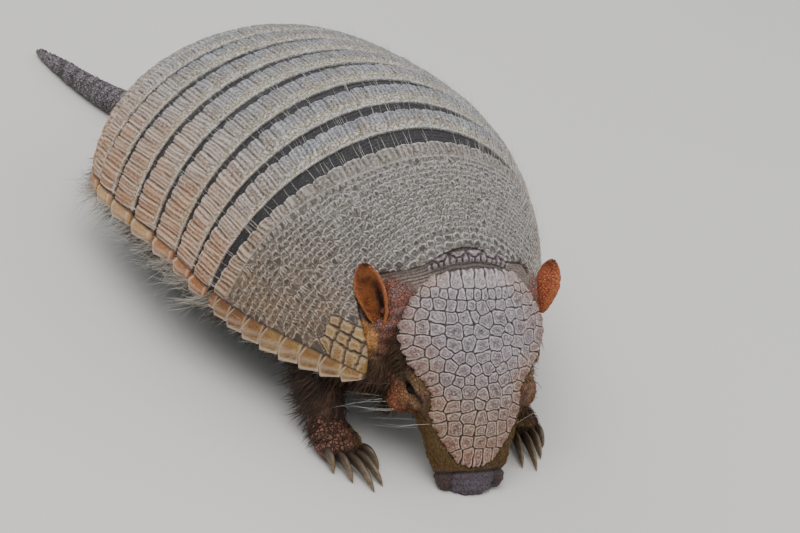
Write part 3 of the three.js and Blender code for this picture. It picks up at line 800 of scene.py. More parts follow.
def nuchalPlate():  # a small arched row of scutes behind the head shield
    piece, u, v, ring = foldedGrid("nuchalBand", 26, 190)
    u, v = edgeWall(ring, u, v, 0.2, 0.04)
    w, long = 2 * v - 1, nuchal["to"] - nuchal["from"]
    b = w * nuchal["halfWidth"]
    flat = np.stack([nuchal["from"] + long * u, b], 1)
    seeds = [(-8.6, k * 7.0 + 0.5 * np.sin(k * 3) + 1.5) for k in range(-3, 4)]
    seeds += [(-6.2 + 0.35 * np.sin(k * 5), k * 2.5 + 0.4 * np.sin(k * 7)) for k in range(-8, 9)]
    a = flat[:, 0] + nuchal["arch"] * b * b
    b = b + nuchal["shift"]
    wobble = 0.25 * np.stack([flatNoise(flat, 2, k) for k in (1, 2)], 1)
    d, first = flatBorders(flat + wobble, np.array(seeds), 0)
    # The arched share gives pale scute edges, partly painted highlight on the raised rims.
    sep, arched, luck = bell(d, 0.34), bell(d - 0.7, 0.3), chance(first, 2)
    near, pebble = cells(a / 0.9, b / 0.9, 3)
    lift = 0.5 * (1 - np.exp(-np.maximum(d, 0) / 0.7)) - 0.5 * sep + 0.15 * arched + 0.3 * (luck - 0.5)
    lift -= 0.15 * np.clip(near * 1.5, 0, 1)
    lift -= 0.8 * edgeDrop(u, w, long, nuchal["halfWidth"], 1.1)
    depth = np.choose(ring, [0, 0.35, 0.8, 1.0]) * nuchal["thickness"]
    points = crownSurface(a, b * 0.999) + np.array([0, 0, nuchal["lift"]])
    points += crownNormal(np.zeros_like(a), b) * (lift * (ring == 0) - depth)[:, None]
    writePlaces(piece, toFrame(fromHead(points)))
    mark(piece, groove=sep * 0.8, rim=arched * 0.45, tone=luck, side=0.05 + 0.2 * np.abs(w),
         grain=0.6 * pebble, marginal=0.0, core=0.35 * (chance(first, 4) > 0.4), warm=0.0)
    return piece


finished(nuchalPlate(), headPlateSkin, "shell", "nuchal_band")
print("head shield made")

# One skin replaces the flesh of the head, the body, the legs and the tail.
fleshNodes = ["trunk", "neck", "head", "tail_base", "tail_middle", "tail_tip"]
hands = {"right": -1, "left": 1}
for part in ("leg", "foot"):
    fleshNodes += [f"{part}_{end}_{hand}" for end in ("fore", "hind") for hand in hands]
eye = {"place": (45.9, 23.6, -16.5), "radius": 4.0}


def lump(place, size, turn=np.eye(3)):  # a soft fold of flesh to be taken into the skin, in the head's frame
    bpy.ops.mesh.primitive_uv_sphere_add(segments=20, ring_count=12, radius=1)
    piece = bpy.context.object
    writePlaces(piece, toFrame(fromHead((readPlaces(piece) * size) @ turn + np.asarray(place))))
    return piece


def eyeAxes(out):  # along the slit of the eye, out of the head, and up across the slit
    raised, outward = np.array([0, -out * 0.5, 0.85]), unit(np.array([0.05, out * 0.86, 0.5]))
    slit = unit(0.72 * np.array([1.0, 0, 0]) + 0.62 * raised)
    return np.stack([slit, outward, np.cross(outward, slit) * -out])


def fleshLumps():
    made = []
    for out in hands.values():
        centre, turn = mirrored(eye["place"], out), eyeAxes(out)
        slit, outward, upper = turn
        for aside, raised, size in (
            (upper * 3.8, outward * 2.7, (11.0, 3.6, 3.1)),  # upper lid
            (upper * -3.9, outward * 2.2, (9.6, 3.2, 2.8)),  # lower lid
            (slit * -8.4, outward * 1.6, (3.2, 2.8, 3.8)),  # outer corner
            (slit * 8.4, outward * 1.2, (3.2, 2.8, 3.4)),  # inner corner
        ):
            made.append(lump(centre + aside + raised, size, turn))
        made.append(lump(mirrored((49.5, 28.0, -24.0), out), (8.5, 6.0, 7.5)))  # cheek
        inward = 0.4 if out < 0 else 7.0  # the left ear is held closer
        earRoot = (9.5, 6.0 if out < 0 else 4.6, 6.6)
        made.append(lump(mirrored((11.5, 33.6 - inward, -15.5), out), earRoot))
        made.append(lump(mirrored((6, 35.0 - inward, -15), out), (7.0, 3.6, 5.6)))
        base = mirrored((24.5, 43.2 - 1.5 * inward, -17.5 - 1.3 * inward), out)
        way = unit(np.array([0.86, out * 0.5, -0.12]))
        foldAxes = np.stack([way, unit(np.cross((0, 0, 1), way)), (0, 0, 1)])
        made.append(lump(base, (8.4, 3.2, 3.4), foldAxes))  # fold below the ear
        made.append(lump(mirrored((84.2, 11.4, -18.2), out), (5.6, 4.2, 5.4)))  # wing of the nose
    made.append(lump((87.6, 0, -17.4), (5.0, 9.4, 6.2)))  # nose pad
    return made


def relax(points, edges, rounds, share=0.5, held=None):
    count = np.bincount(edges.ravel(), minlength=len(points)).astype(float)
    for _ in range(rounds):
        for strength in (share, -share * 1.04):
            total = np.empty_like(points)
            for axis in range(3):
                total[:, axis] = np.bincount(edges[:, 0], points[edges[:, 1], axis], len(points))
                total[:, axis] += np.bincount(edges[:, 1], points[edges[:, 0], axis], len(points))
            move = (total / count[:, None] - points) * strength
            points = points + (move if held is None else move * held[:, None])
    return points


def edgesOf(piece):
    edges = np.empty(len(piece.data.edges) * 2, np.int32)
    piece.data.edges.foreach_get("vertices", edges)
    return edges.reshape(-1, 2)


def bodySkin():
    copies = []
    for name in fleshNodes:
        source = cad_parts[name]
        copy = bpy.data.objects.new(name + "Flesh", source.data.copy())
        bpy.context.collection.objects.link(copy)
        edited(copy, bpy.ops.mesh.remove_doubles, threshold=0.00002)
        applied(copy, "DISPLACE", strength=0.0004, mid_level=0.0)
        copies.append(copy)
    skin = joined(copies + fleshLumps(), "skin")
    skin.data.materials.clear()
    applied(skin, "REMESH", mode="VOXEL", voxel_size=0.00158)
    return skin


skin = bodySkin()
print("skin remeshed", len(skin.data.vertices))


def smoothSkin():  # less at the nose, the eyes and the roots of the ears
    points = toBuild(readPlaces(skin))
    local = inHead(points)
    small = ease(78, 82, local[:, 0]) * 0.8
    for out in hands.values():
        for place, reach in ((eye["place"], 10), ((14, 37, -15), 13)):
            far = np.linalg.norm(local - mirrored(place, out), axis=1)
            small = np.maximum(small, 1 - ease(reach, reach + 5, far))
    edges = edgesOf(skin)
    points = relax(points, edges, 26, 0.6, 1 - 0.93 * small)
    points = relax(points, edges, 3, 0.5)
    writePlaces(skin, toFrame(points))


smoothSkin()


def refineHead():  # finer faces where the folds of the face go
    only(skin)
    points = inHead(toBuild(readPlaces(skin)))
    near = (points[:, 0] > 4) & (points[:, 2] > -52) & (np.abs(points[:, 1]) < 48)
    near &= (points[:, 2] < -4) | (points[:, 0] > 74)
    bpy.ops.object.mode_set(mode="EDIT")
    bpy.ops.mesh.select_all(action="DESELECT")
    bpy.ops.object.mode_set(mode="OBJECT")
    skin.data.vertices.foreach_set("select", near)
    bpy.ops.object.mode_set(mode="EDIT")
    bpy.ops.mesh.select_mode(type="VERT")
    bpy.ops.mesh.subdivide(number_cuts=1, smoothness=0.8)
    bpy.ops.object.mode_set(mode="OBJECT")


refineHead()
print("skin refined", len(skin.data.vertices))


def tailShare(points):  # 0 at the root of the tail, 1 at its tip
    return np.clip((points[:, 1] - 216) / 150, 0, 1)


def farFrom(local, *places):  # distance to the nearest of them
    return np.minimum.reduce([np.linalg.norm(local - place, axis=1) for place in places])


def eyeDistance(local):
    return farFrom(local, *(mirrored(eye["place"], out) for out in hands.values()))


def shapeSkin():  # sinks the skin, adds its folds and marks its parts
    points = toBuild(readPlaces(skin))
    normals = readNormals(skin)
    local = inHead(points)
    a, b, c = local.T
    height = points[:, 2]
    onHead = ease(2, 10, a) * (1 - ease(46, 54, -c)) * (1 - ease(38, 46, np.abs(b)))
    tail = ease(210, 222, points[:, 1])
    feet = (1 - ease(11, 18, height)) * (1 - onHead) * (1 - tail) * ease(28, 34, np.abs(points[:, 0]))
    nose = ease(81.5, 83.5, a) * onHead
    wing = nose * ease(9.4, 10.4, np.abs(b))
    lift = -0.9 + 0.5 * np.maximum(nose, feet) + 0.5 * tail
    lumps = smoothNoise(points, 7, 1)
    fine = smoothNoise(points, 2.4, 2)
    lift += onHead * (1 - nose) * (0.25 * lumps + 0.14 * fine)
    # Folds run round the cheek and the throat.
    reach = np.hypot(a - 50, (c + 14) * 1.1)
    cheek = onHead * ease(10, 14, reach) * (1 - ease(34, 44, reach)) * ease(10, 20, np.abs(b))
    lift += cheek * 0.42 * np.sin(reach * 1.25 + 1.6 * smoothNoise(points, 9, 4)) * (1 - ease(58, 64, a))
    # Creases lie beside each eye.
    far = np.hypot((a - eye["place"][0]) * 0.75, c - eye["place"][2])
    for out in hands.values():
        around = bell(far - 8.5, 3.0) * ease(12, 18, out * b)
        lift += 0.32 * around * np.sin(far * 2.9 + 0.6 * lumps)
    # The mouth, the chin and the nostrils follow.
    mouth = np.where(a < 82, -20.5 - 0.16 * (82 - a), -20.5 + 0.1 * (a - 82))
    lift -= 1.3 * bell(c - mouth, 0.75) * ease(56, 64, a) * (1 - ease(89, 92, a)) * onHead
    lift += 0.5 * bell(c - mouth - 2.0, 1.4) * ease(58, 66, a) * onHead * (1 - nose)
    for out in hands.values():
        hole = np.linalg.norm((local - mirrored((89.5, 5.0, -17.2), out)) * (0.6, 0.8, 1), axis=1)
        lift -= 2.4 * bell(hole, 1.7)
        lift += 0.6 * bell(hole - 2.9, 0.9)
    lift -= nose * 0.4 * np.abs(np.sin(b * 0.8 + 0.9 * fine)) ** 3 * (1 - wing)
    lift -= 0.7 * bell(np.abs(b) - 9.4, 0.7) * nose + 0.9 * bell(a - 82.2, 0.8) * onHead * ease(-26, -22, c)
    lift += nose * 0.14 * np.sin(a * 2.2 + 0.7 * lumps)
    # Rings run round the tail.
    ringed = np.sin((points[:, 1] + 0.25 * points[:, 0]) * 2 * np.pi / (4.4 - 1.4 * tailShare(points)))
    lift += tail * (0.36 * ringed + 0.12 * fine)
    points = points + normals * lift[:, None]
    points[:, 2] = np.maximum(points[:, 2], 0.0)
    writePlaces(skin, toFrame(points))
    root, tab, slit = (np.zeros(len(points)) for _ in range(3))
    for out in hands.values():
        far = np.linalg.norm((local - mirrored((10, 36, -13), out)) * (0.9, 1, 1), axis=1)
        root = np.maximum(root, 1 - ease(9, 13, far))
        below = (24.5, 43.6, -17) if out < 0 else (24.5, 35.0, -24)  # the fold below the ear
        far = np.linalg.norm((local - mirrored(below, out)) / (9, 4.4, 4.6), axis=1)
        tab = np.maximum(tab, 1 - ease(0.9, 1.15, far))
        turned = (local - mirrored(eye["place"], out)) @ eyeAxes(out).T
        opening = bell(turned[:, 2], 1.2) * (1 - ease(7.5, 10, np.abs(turned[:, 0]))) * (turned[:, 1] > 0)
        slit = np.maximum(slit, opening)
    nape = ease(-20, -14, a) * (1 - ease(14, 22, a)) * ease(-40, -32, c)
    belly = ease(6, 40, points[:, 1]) * (1 - onHead) * (1 - tail) * (1 - feet)
    ruddy = bell(np.linalg.norm((local - (49.5, 0, -24)) * (1, 0, 1), axis=1), 9) * ease(18, 22, np.abs(b))
    # Painted shade in the deepest hollows (the mouth line and nostrils), along the eye slits and in the
    # troughs between the tail's rings.
    crease = np.clip(np.maximum(np.clip(-lift - 0.9, 0, 1), slit), 0, 1) * onHead
    mark(skin, root=root, tab=tab * (1 - root), nape=nape * (1 - root), wing=wing, ruddy=ruddy, nose=nose,
         feet=feet, tail=tail, belly=belly, cheek=onHead * (1 - ease(40, 60, a)),
         snout=onHead * ease(50, 62, a) * (1 - nose), lid=1 - ease(7, 11, eyeDistance(local)),
         crease=crease + 0.6 * tail * ease(0.1, 0.9, -ringed), fold=0.0, wrinkleShade=0.0)


shapeSkin()
plainMarks = dict.fromkeys((
    "root", "tab", "nape", "wing", "ruddy", "nose", "feet", "tail", "belly", "cheek", "snout", "lid",
    "crease", "fold", "wrinkleShade"), 0.0)


def foldStrips():  # soft skin between the plates, wrinkled crosswise
    strips = []
    for number, start in enumerate(plateEnds):
        if number < 7:
            fold = shell["firstFold"] if number == 0 else shell["laterFold"]
            after = bandStart(start, shell["bandEnds"][number], fold)
        else:
            after = endAt(shell["pelvicStart"])
        bpy.ops.mesh.primitive_grid_add(x_subdivisions=260, y_subdivisions=18 if number == 0 else 13, size=2)
        strip = bpy.context.object
        flat = readPlaces(strip)
        t, v = (flat[:, 0] + 1) / 2, (flat[:, 1] + 1) / 2
        s0, s1 = start - 0.008, after(t) + 0.008
        s = s0 + (s1 - s0) * v
        _, _, normal, speed = shellFrame(s, t)
        mm = (s - start) * speed
        base = shellSurface(s, t)
        wave = 0.30 * np.sin(mm * 2 * np.pi / 1.35 + 1.4 * smoothNoise(base, 13, number))
        wave *= 0.6 + 0.4 * smoothNoise(base, 8, 3)
        depth = 1.75 + 1.9 * (2 * v - 1) ** 4 - wave * (1 - (2 * v - 1) ** 6)
        writePlaces(strip, toFrame(base - normal * depth[:, None]))
        # The height of the wrinkles is kept for painted shade in their valleys and lighter crests.
        mark(strip, **dict(plainMarks, fold=1.0, wrinkleShade=np.clip(0.5 + wave * 1.4, 0, 1)))
        strips.append(strip)
    return strips


def napeStrip():  # soft skin from the front edge of the shell to the head shield
    bpy.ops.mesh.primitive_grid_add(x_subdivisions=190, y_subdivisions=44, size=2)
    strip = bpy.context.object
    flat = readPlaces(strip)
    w, q = flat[:, 0], (flat[:, 1] + 1) / 2
    t = 0.5 + (0.31 + 0.035 * (w > 0)) * w  # wider on the left, behind the ear
    s = shellFront(t) + 0.006
    _, _, normal, _ = shellFrame(s, t)
    behind = inHead(shellSurface(s, t) - normal * 2.1)
    a, b = 2.5 + 8 * np.abs(w) ** 4, 27 * w
    ahead = crownSurface(a, b) - crownNormal(a, b) * 1.9
    wave = np.sin(q * 2 * np.pi * 8 + 1.5 * smoothNoise(np.c_[w * 30, q * 6, q * 0], 6, 8))
    points = behind * (1 - q[:, None]) + ahead * q[:, None]
    cover = crownSurface(points[:, 0], np.clip(points[:, 1], -24, 24))[:, 2] - 0.8
    share = ease(0, 0.3, q) * (1 - ease(0.85, 1, q)) * (1 - ease(16, 23, np.abs(points[:, 1])))
    points[:, 2] += (cover - points[:, 2]) * share + 0.3 * wave * np.sin(np.pi * q)
    writePlaces(strip, toFrame(fromHead(points)))
    fold = 0.6 * (1 - ease(0.35, 0.75, np.abs(w)))
    # The height of the wrinkles is kept for painted shade in their valleys.
    mark(strip, **dict(plainMarks, fold=fold, nape=1.0, wrinkleShade=0.5 + 0.5 * wave))
    return strip


folds = joined([*foldStrips(), napeStrip()], "foldSkin")
print("skin shaped", len(skin.data.polygons))


def skinFinish():
    f = Finish("hide")
    fine, coarse = f.noise(1500, 4, 0.65), f.noise(260, 3)
    pebbles, granules = f.cell(620, "DISTANCE_TO_EDGE"), f.cell(1150, "DISTANCE_TO_EDGE")

    def patchy(pattern, low, high, dark, pale):
        return f.mix(f.band(pattern, low, high), hue(dark), hue(pale))

    rootTone = patchy(coarse, 0.4, 0.6, "a56a58", "8f6f68")
    napeTone = patchy(fine, 0.35, 0.65, "6d5f58", "a39488")
    # Painted shade in the wrinkle valleys, lighter on their crests.
    folds = f.mix(f.mark("wrinkleShade"), hue("121114"), hue("403d40"))
    base = patchy(coarse, 0.4, 0.62, "3f3029", "54443a")
    for part, tone in {
        "belly": f.mix(coarse, hue("2c2320"), hue("3d302a")),
        "cheek": patchy(fine, 0.35, 0.6, "5d3a2c", "855542"),
        "snout": patchy(fine, 0.35, 0.6, "3a2a18", "5f4628"),
        "lid": patchy(fine, 0.35, 0.6, "57432b", "8f7450"),
        "nose": patchy(fine, 0.4, 0.6, "3a3036", "5b4f58"),
        "feet": patchy(pebbles, 0.02, 0.12, "3a2620", "805646"),
        "tail": patchy(pebbles, 0.02, 0.1, "453d40", "857c80"),
        # Painted shade in the nape's wrinkle valleys.
        "nape": f.mix(f.band(f.mark("wrinkleShade"), 0.0, 0.5, 0.4, 0.0), napeTone, hue("3a302c")),
        "ruddy": patchy(pebbles, 0.02, 0.12, "4a2418", "a4583a"),
        "tab": patchy(fine, 0.35, 0.6, "7a4a22", "c08a50"),
        "root": f.mix(f.band(granules, 0.0, 0.14), hue("54302a"), rootTone),
        "wing": patchy(fine, 0.4, 0.6, "2c1f1d", "4b3832"),
        "fold": f.mix(f.band(fine, 0.56, 0.7, 0.0, 0.55), folds, hue("8a8074")),
        # Painted shade in the creases.
        "crease": hue("1d1412"),
    }.items():
        base = f.mix(f.mark(part), base, tone)
    pebbly = f.sum(f.mark("feet"), f.mark("tail"), "MAXIMUM")
    pebbly = f.sum(pebbly, f.sum(f.mark("cheek"), f.mark("root"), "MAXIMUM"), "MAXIMUM")
    relief = f.bump(f.times(f.band(pebbles, 0.0, 0.14), pebbly), 0.0006, f.bump(fine, 0.0004))
    return f.done(base, f.band(fine, 0.3, 0.7, 0.72, 0.5), relief, Specular_IOR_Level=0.4)


edited(skin, bpy.ops.uv.smart_project, angle_limit=1.15, island_margin=0.001)
hide = skinFinish()
finished(skin, hide, "skin", *fleshNodes)
finished(folds, hide, "skin")
print("skin finished")

# Each ear is a cupped leaf, open to the side, with a granular back.
ear = {
    "thickness": 1.3, "cup": 4.4, "halfWidth": [2.2, 4.3, 5.5, 6.2, 6.2, 5.2, 3.8], "rows": 70, "columns": 46,
    "facing": {"right": (0.1, -0.75, 0.65), "left": (-0.45, 0.85, -0.1)},
}
earLines = {"right": ((19, -39.8, -15), (-5, -47.2, -8.8)), "left": ((16.5, 34.6, -20), (-3.5, 38.4, -14))}


def earPiece(hand):
    base, tip = (np.array(p, float) for p in earLines[hand])
    length = tip - base
    facing = unit(np.array(ear["facing"][hand]))
    across = unit(np.cross(length, facing))
    facing = unit(np.cross(across, length))
    bpy.ops.mesh.primitive_grid_add(x_subdivisions=ear["rows"], y_subdivisions=ear["columns"], size=2)
    piece = bpy.context.object
    piece.name = piece.data.name = "ear" + hand.title()
    flat = readPlaces(piece)
    q, w = 1 - (1 - (flat[:, 0] + 1) / 2) ** 1.5, flat[:, 1]
    rounded = np.sqrt(np.clip(1 - np.clip((q - 0.8) / 0.2, 0, 1) ** 2, 0.003, 1))
    halfWidth = along(np.linspace(0, 1, 7), ear["halfWidth"], q) * rounded
    reach = halfWidth * w + 0.12 * np.sin(q * 40) * np.abs(w) ** 6
    depth = ear["cup"] * (1 - w * w) * np.sin(np.pi * np.minimum(q + 0.15, 1)) * rounded
    depth -= 1.0 * np.abs(w) ** 3 * ease(0.1, 0.6, q) * rounded
    points = base + length * q[:, None] + across * reach[:, None] - facing * depth[:, None]
    ridges = np.sin(w * 8 + q * 4) * 0.10 * ease(0.2, 0.5, q) * (1 - ease(0.75, 1, q))
    points += facing * (0.06 * smoothNoise(np.c_[q * 40, w * 12, q * 0], 2.4, 5) + ridges)[:, None]
    writePlaces(piece, toFrame(fromHead(points)))
    if readNormals(piece).mean(0) @ (facing @ axes) < 0:  # the wall is added behind the opening
        edited(piece, bpy.ops.mesh.flip_normals)
    applied(piece, "SOLIDIFY", thickness=ear["thickness"] * 0.001, offset=-1.0)
    local = inHead(toBuild(readPlaces(piece)))
    inner = np.linalg.norm(local[:, None, :] - points[None, ::7, :], axis=2).min(1) < 0.8
    share = np.clip((local - base) @ length / (length @ length), 0, 1)
    width = np.maximum(along(np.linspace(0, 1, 7), ear["halfWidth"], share), 1)
    medial = (local - base) @ across / width * (1 if across[1] * hands[hand] < 0 else -1)
    pebble = cells(share * 22, (local - base) @ across / 1.1, 5)[0]
    local += facing * ((~inner) * 0.35 * (0.5 - pebble) * ease(0.02, 0.1, share))[:, None]
    writePlaces(piece, toFrame(fromHead(local)))
    # Painted shade deep in the ear's opening, toward its medial wall.
    deep = bell(medial - 0.35, 0.5) * bell(share - 0.32, 0.4)
    mark(piece, inner=inner.astype(float), away=np.abs(medial), deep=deep)
    return piece


def earFinish():
    f = Finish("earHide")
    fine, patch = f.noise(1600, 4, 0.7), f.noise(240, 3)
    pebbles = f.cell(900, "DISTANCE_TO_EDGE")
    inside = f.mix(f.band(patch, 0.35, 0.65), hue("6e3614"), hue("9a5a28"))
    # Painted shade deep in the opening.
    inside = f.mix(f.band(f.mark("deep"), 0.15, 0.85), inside, hue("160905"))
    outside = f.mix(f.band(pebbles, 0.0, 0.12), hue("5a2a1a"), hue("b8603a"))
    base = f.mix(f.mark("inner"), outside, inside)
    # Painted highlight along the ear's rim.
    base = f.mix(f.band(f.mark("away"), 0.8, 1.0, 0.0, 0.5), base, hue("c07a48"))
    base = f.mix(f.band(fine, 0.3, 0.45, 0.5, 0.0), base, hue("40201a"))
    relief = f.bump(f.band(pebbles, 0.0, 0.14), 0.0004, f.bump(fine, 0.0003))
    made = f.done(base, 0.55, relief, Specular_IOR_Level=0.4, Subsurface_Weight=0.35, Subsurface_Scale=0.002)
    f.shader.inputs["Subsurface Radius"].default_value = (1.0, 0.35, 0.15)
    return made


earHide = earFinish()
for hand in hands:
    finished(earPiece(hand), earHide, "ear", "ear_" + hand)
print("ears made")


def eyeFinish():
    f = Finish("wetEye")
    base = f.mix(f.band(f.noise(500), 0.4, 0.7), hue("0a0706"), hue("1d1210"))
    return f.done(base, 0.3, Coat_Weight=0.04, Coat_Roughness=0.1, Specular_IOR_Level=0.12)


wetEye = eyeFinish()
for hand, out in hands.items():
    bpy.ops.mesh.primitive_uv_sphere_add(segments=40, ring_count=24, radius=eye["radius"] * 0.96)
    ball = bpy.context.object
    ball.name = ball.data.name = "eye" + hand.title()
    points = readPlaces(ball)
    bulge = 1 + 0.06 * bell(np.hypot(points[:, 0], points[:, 2]), 2.2) * (points[:, 1] * out > 0)
    points = points * bulge[:, None] + mirrored(eye["place"], out)
    writePlaces(ball, toFrame(fromHead(points)))
    finished(ball, wetEye, "eye", "eye_" + hand)
print("eyes made")

# Five claws on each foot, swept along a falling line from the toe.
footEnds = {"fore": ((-43.5, -6), (-42.5, -12, 3.6, 10.4)), "hind": ((-50, 148), (-51, 134, 3.6, 10.4))}
claws = {
    "fore": {"length": [11, 19, 21, 14, 9], "radius": 2.5, "height": 5, "splay": 9},
    "hind": {"length": [9, 12, 13, 11, 8], "radius": 2.2, "height": 4.6, "splay": 7},
}


def clawLine(end, hand, digit):
    out, look = hands[hand], claws[end]
    (backX, backY), (toeX, toeY, toeZ, halfWidth) = footEnds[end]
    if hand == "left":
        backX, toeX = -backX, -toeX
    share = digit / 2 - 1
    turn = np.arctan2(toeX - backX, backY - toeY) + out * np.radians(look["splay"]) * share
    length, radius = look["length"][digit], look["radius"]
    rows = []
    for distance, z, r in ((-1, toeZ + 0.4, radius), (length * 0.35, look["height"], radius),
                           (length * 0.75, look["height"] * 0.6, radius * 0.7), (length, 0.45, 0.35)):
        rows.append((toeX + out * share * (halfWidth - 2) + np.sin(turn) * distance,
                     toeY - np.cos(turn) * distance - 2 + 3.5 * share * share, z, r * 0.6, r))
    return np.array(rows)


def clawPiece(end, hand, digit):
    line = clawLine(end, hand, digit)
    bpy.ops.mesh.primitive_uv_sphere_add(segments=18, ring_count=22, radius=1)
    piece = bpy.context.object
    piece.name = piece.data.name = f"claw{end.title()}{hand.title()}{digit + 1}"
    ball = readPlaces(piece)
    q = np.clip(0.5 - 0.5 * ball[:, 2], 0, 1)
    at = np.linspace(0, 1, 4)

    def lineAt(share):
        return np.stack([along(at, line[:, k], share) for k in range(3)], 1)

    centre = lineAt(q)
    ahead = unit(lineAt(np.clip(q + 0.02, 0, 1)) - lineAt(np.clip(q - 0.02, 0, 1)))
    sideways = unit(np.cross(ahead, (0, 0, 1)))
    upward = np.cross(sideways, ahead)
    angle = np.arctan2(ball[:, 1], ball[:, 0])
    closing = np.clip(np.hypot(ball[:, 0], ball[:, 1]) * 1.6, 0, 1)
    wide, tall = along(at, line[:, 3], q) * closing, along(at, line[:, 4], q) * closing
    keel = 1 + 0.18 * (np.sin(angle) > 0) * np.sin(angle)
    under = np.where(np.sin(angle) < 0, 0.75, 1)
    points = centre + sideways * (wide * 1.12 * np.cos(angle))[:, None]
    points += upward * (tall * np.sin(angle) * keel * under)[:, None]
    points[:, 2] = np.maximum(points[:, 2], 0.05)
    writePlaces(piece, toFrame(points))
    edited(piece, bpy.ops.mesh.normals_make_consistent, inside=False)
    mark(piece, reach=q)
    return piece


def clawFinish():
    f = Finish("clawHorn")
    reach = f.mark("reach")
    streak = f.noise(900, 3, 0.6, (1, 0.25, 1))
    base = f.mix(f.band(reach, 0.1, 0.85), hue("33271f"), hue("7a684f"))
    base = f.mix(f.band(streak, 0.35, 0.6, 0.55, 0.0), base, hue("3a2a20"))
    return f.done(base, f.band(streak, 0.3, 0.7, 0.5, 0.34), f.bump(streak, 0.0003), Specular_IOR_Level=0.5)


clawHorn = clawFinish()
for end in claws:
    for hand in hands:
        for digit in range(5):
            finished(clawPiece(end, hand, digit), clawHorn, "claw", f"claw_{end}_{hand}_{digit + 1}")
print("claws made")

# The coat is made of tapered locks and hairs that follow the lie of the fur.
def coatFinish(name, dark, pale, tip):
    f = Finish(name)
    base = f.mix(f.mark("tone"), hue(dark), hue(pale))
    base = f.mix(f.band(f.mark("reach"), 0.55, 1.0), base, hue(tip))
    return f.done(base, 0.5, None, Specular_IOR_Level=0.35)


def spanOf(count, low, high):
    return low + (high - low) * rand.random(count)


def strands(name, finish, hair, roots, ups, starts, ends, lengths, uv):
    count, segments, sides = len(roots), hair["segments"], 3
    radii = spanOf(count, *hair["radius"])
    q = np.linspace(0, 1, segments + 1)
    early, late = (q - q * q / 2)[None, :, None], (q * q / 2)[None, :, None]
    centre = roots[:, None] + lengths[:, None, None] * (starts[:, None] * early + ends[:, None] * late)
    ahead = unit(starts[:, None] * (1 - q)[None, :, None] + ends[:, None] * q[None, :, None] + 1e-6)
    sideways = unit(np.cross(ahead, ups[:, None] + 0.001))
    upward = np.cross(ahead, sideways)
    taper = np.interp(q, (0, 0.2, 0.7, 1), (0.8, 1.0, 0.62, 0.1))
    size = radii[:, None] * taper[None]
    angle = 2 * np.pi * np.arange(sides) / sides
    across = sideways[:, :-1, None] * np.cos(angle)[:, None]
    over = upward[:, :-1, None] * np.sin(angle)[:, None]
    rings = centre[:, :-1, None] + size[:, :-1, None, None] * (across + over * hair.get("flat", 1.0))
    each = segments * sides + 1
    points = np.concatenate([rings.reshape(count, -1, 3), centre[:, -1:]], 1)
    faces = []
    for i in range(segments - 1):
        for k in range(sides):
            a, b = i * sides + k, i * sides + (k + 1) % sides
            faces += [(a, b, b + sides), (a, b + sides, a + sides)]
    last = (segments - 1) * sides
    faces += [(last + k, last + (k + 1) % sides, each - 1) for k in range(sides)]
    faces += [(0, k + 1, k) for k in range(1, sides - 1)]
    faces = (np.array(faces)[None] + (np.arange(count) * each)[:, None, None]).reshape(-1, 3)
    piece = meshOf(name, toFrame(points.reshape(-1, 3)), faces)
    reach = np.append(np.repeat(q[:-1], sides), 1.0)
    aside = np.append(np.tile(np.arange(sides) / (sides - 1), segments), 0.5)
    mark(piece, reach=np.tile(reach, count), tone=np.repeat(rand.random(count), each))
    patch = np.stack([aside - 0.5, reach - 0.5], 1) * 0.003  # each tuft has its own small patch at its root
    places = (uv[:, None] + patch[None]).reshape(-1, 2)
    layer = piece.data.uv_layers.new(name="OFBake")
    layer.data.foreach_set("uv", np.ascontiguousarray(places[faces.ravel()], np.float32).ravel())
    print(name, count, "strands", len(faces), "triangles")
    return finished(piece, finish, "fur")


def skinSurface():
    mesh = skin.data
    mesh.calc_loop_triangles()
    corners = np.empty(len(mesh.loop_triangles) * 3, np.int32)
    mesh.loop_triangles.foreach_get("vertices", corners)
    loops = np.empty_like(corners)
    mesh.loop_triangles.foreach_get("loops", loops)
    flat = np.empty(len(mesh.loops) * 2, np.float32)
    mesh.uv_layers[0].data.foreach_get("uv", flat)
    points, normals = toBuild(readPlaces(skin)), readNormals(skin)
    corners, loops = corners.reshape(-1, 3), loops.reshape(-1, 3)
    places = points[corners]
    area = np.linalg.norm(np.cross(places[:, 1] - places[:, 0], places[:, 2] - places[:, 0]), axis=1) / 2
    uv = flat.reshape(-1, 2)[loops]
    return {"places": places, "normals": normals[corners], "uv": uv, "area": area, "middle": places.mean(1)}


ground = skinSurface()


def scattered(count, density):  # roots on the skin, with normals and places on its unwrap
    weight = np.maximum(density(ground["middle"], unit(ground["normals"].mean(1))), 0) * ground["area"]
    chosen = rand.choice(len(weight), count, p=weight / weight.sum())
    share = rand.random((count, 2))
    share = np.where(share.sum(1, keepdims=True) > 1, 1 - share, share)
    weights = np.c_[1 - share.sum(1), share][:, :, None]
    return [(ground[key][chosen] * weights).sum(1) for key in ("places", "normals", "uv")]


def laid(normals, flow, lift, spread):  # direction along the surface, raised by lift and ruffled by spread
    normals = unit(normals)
    flow = np.broadcast_to(flow, normals.shape)
    lying = unit(flow - normals * np.sum(flow * normals, 1, keepdims=True))
    ruffle = rand.normal(0, spread, normals.shape)
    return unit(lying + normals * np.asarray(lift).reshape(-1, 1) + ruffle)


def clearOf(floor, least, roots, starts, ends, lengths):  # shortens what would reach the floor
    lowest = roots[:, 2] + lengths * (0.5 * starts[:, 2] + 0.5 * ends[:, 2])
    shorter = (roots[:, 2] - floor) / np.maximum(roots[:, 2] - lowest, 0.1)
    return np.where(lowest < floor, lengths * np.clip(shorter, least, 1), lengths)


bellyHair = {"count": 7000, "length": (11, 21), "radius": (0.14, 0.3), "segments": 4, "flat": 0.6}
darkCoat = coatFinish("darkCoat", "1d1512", "3d2e25", "4d3d32")


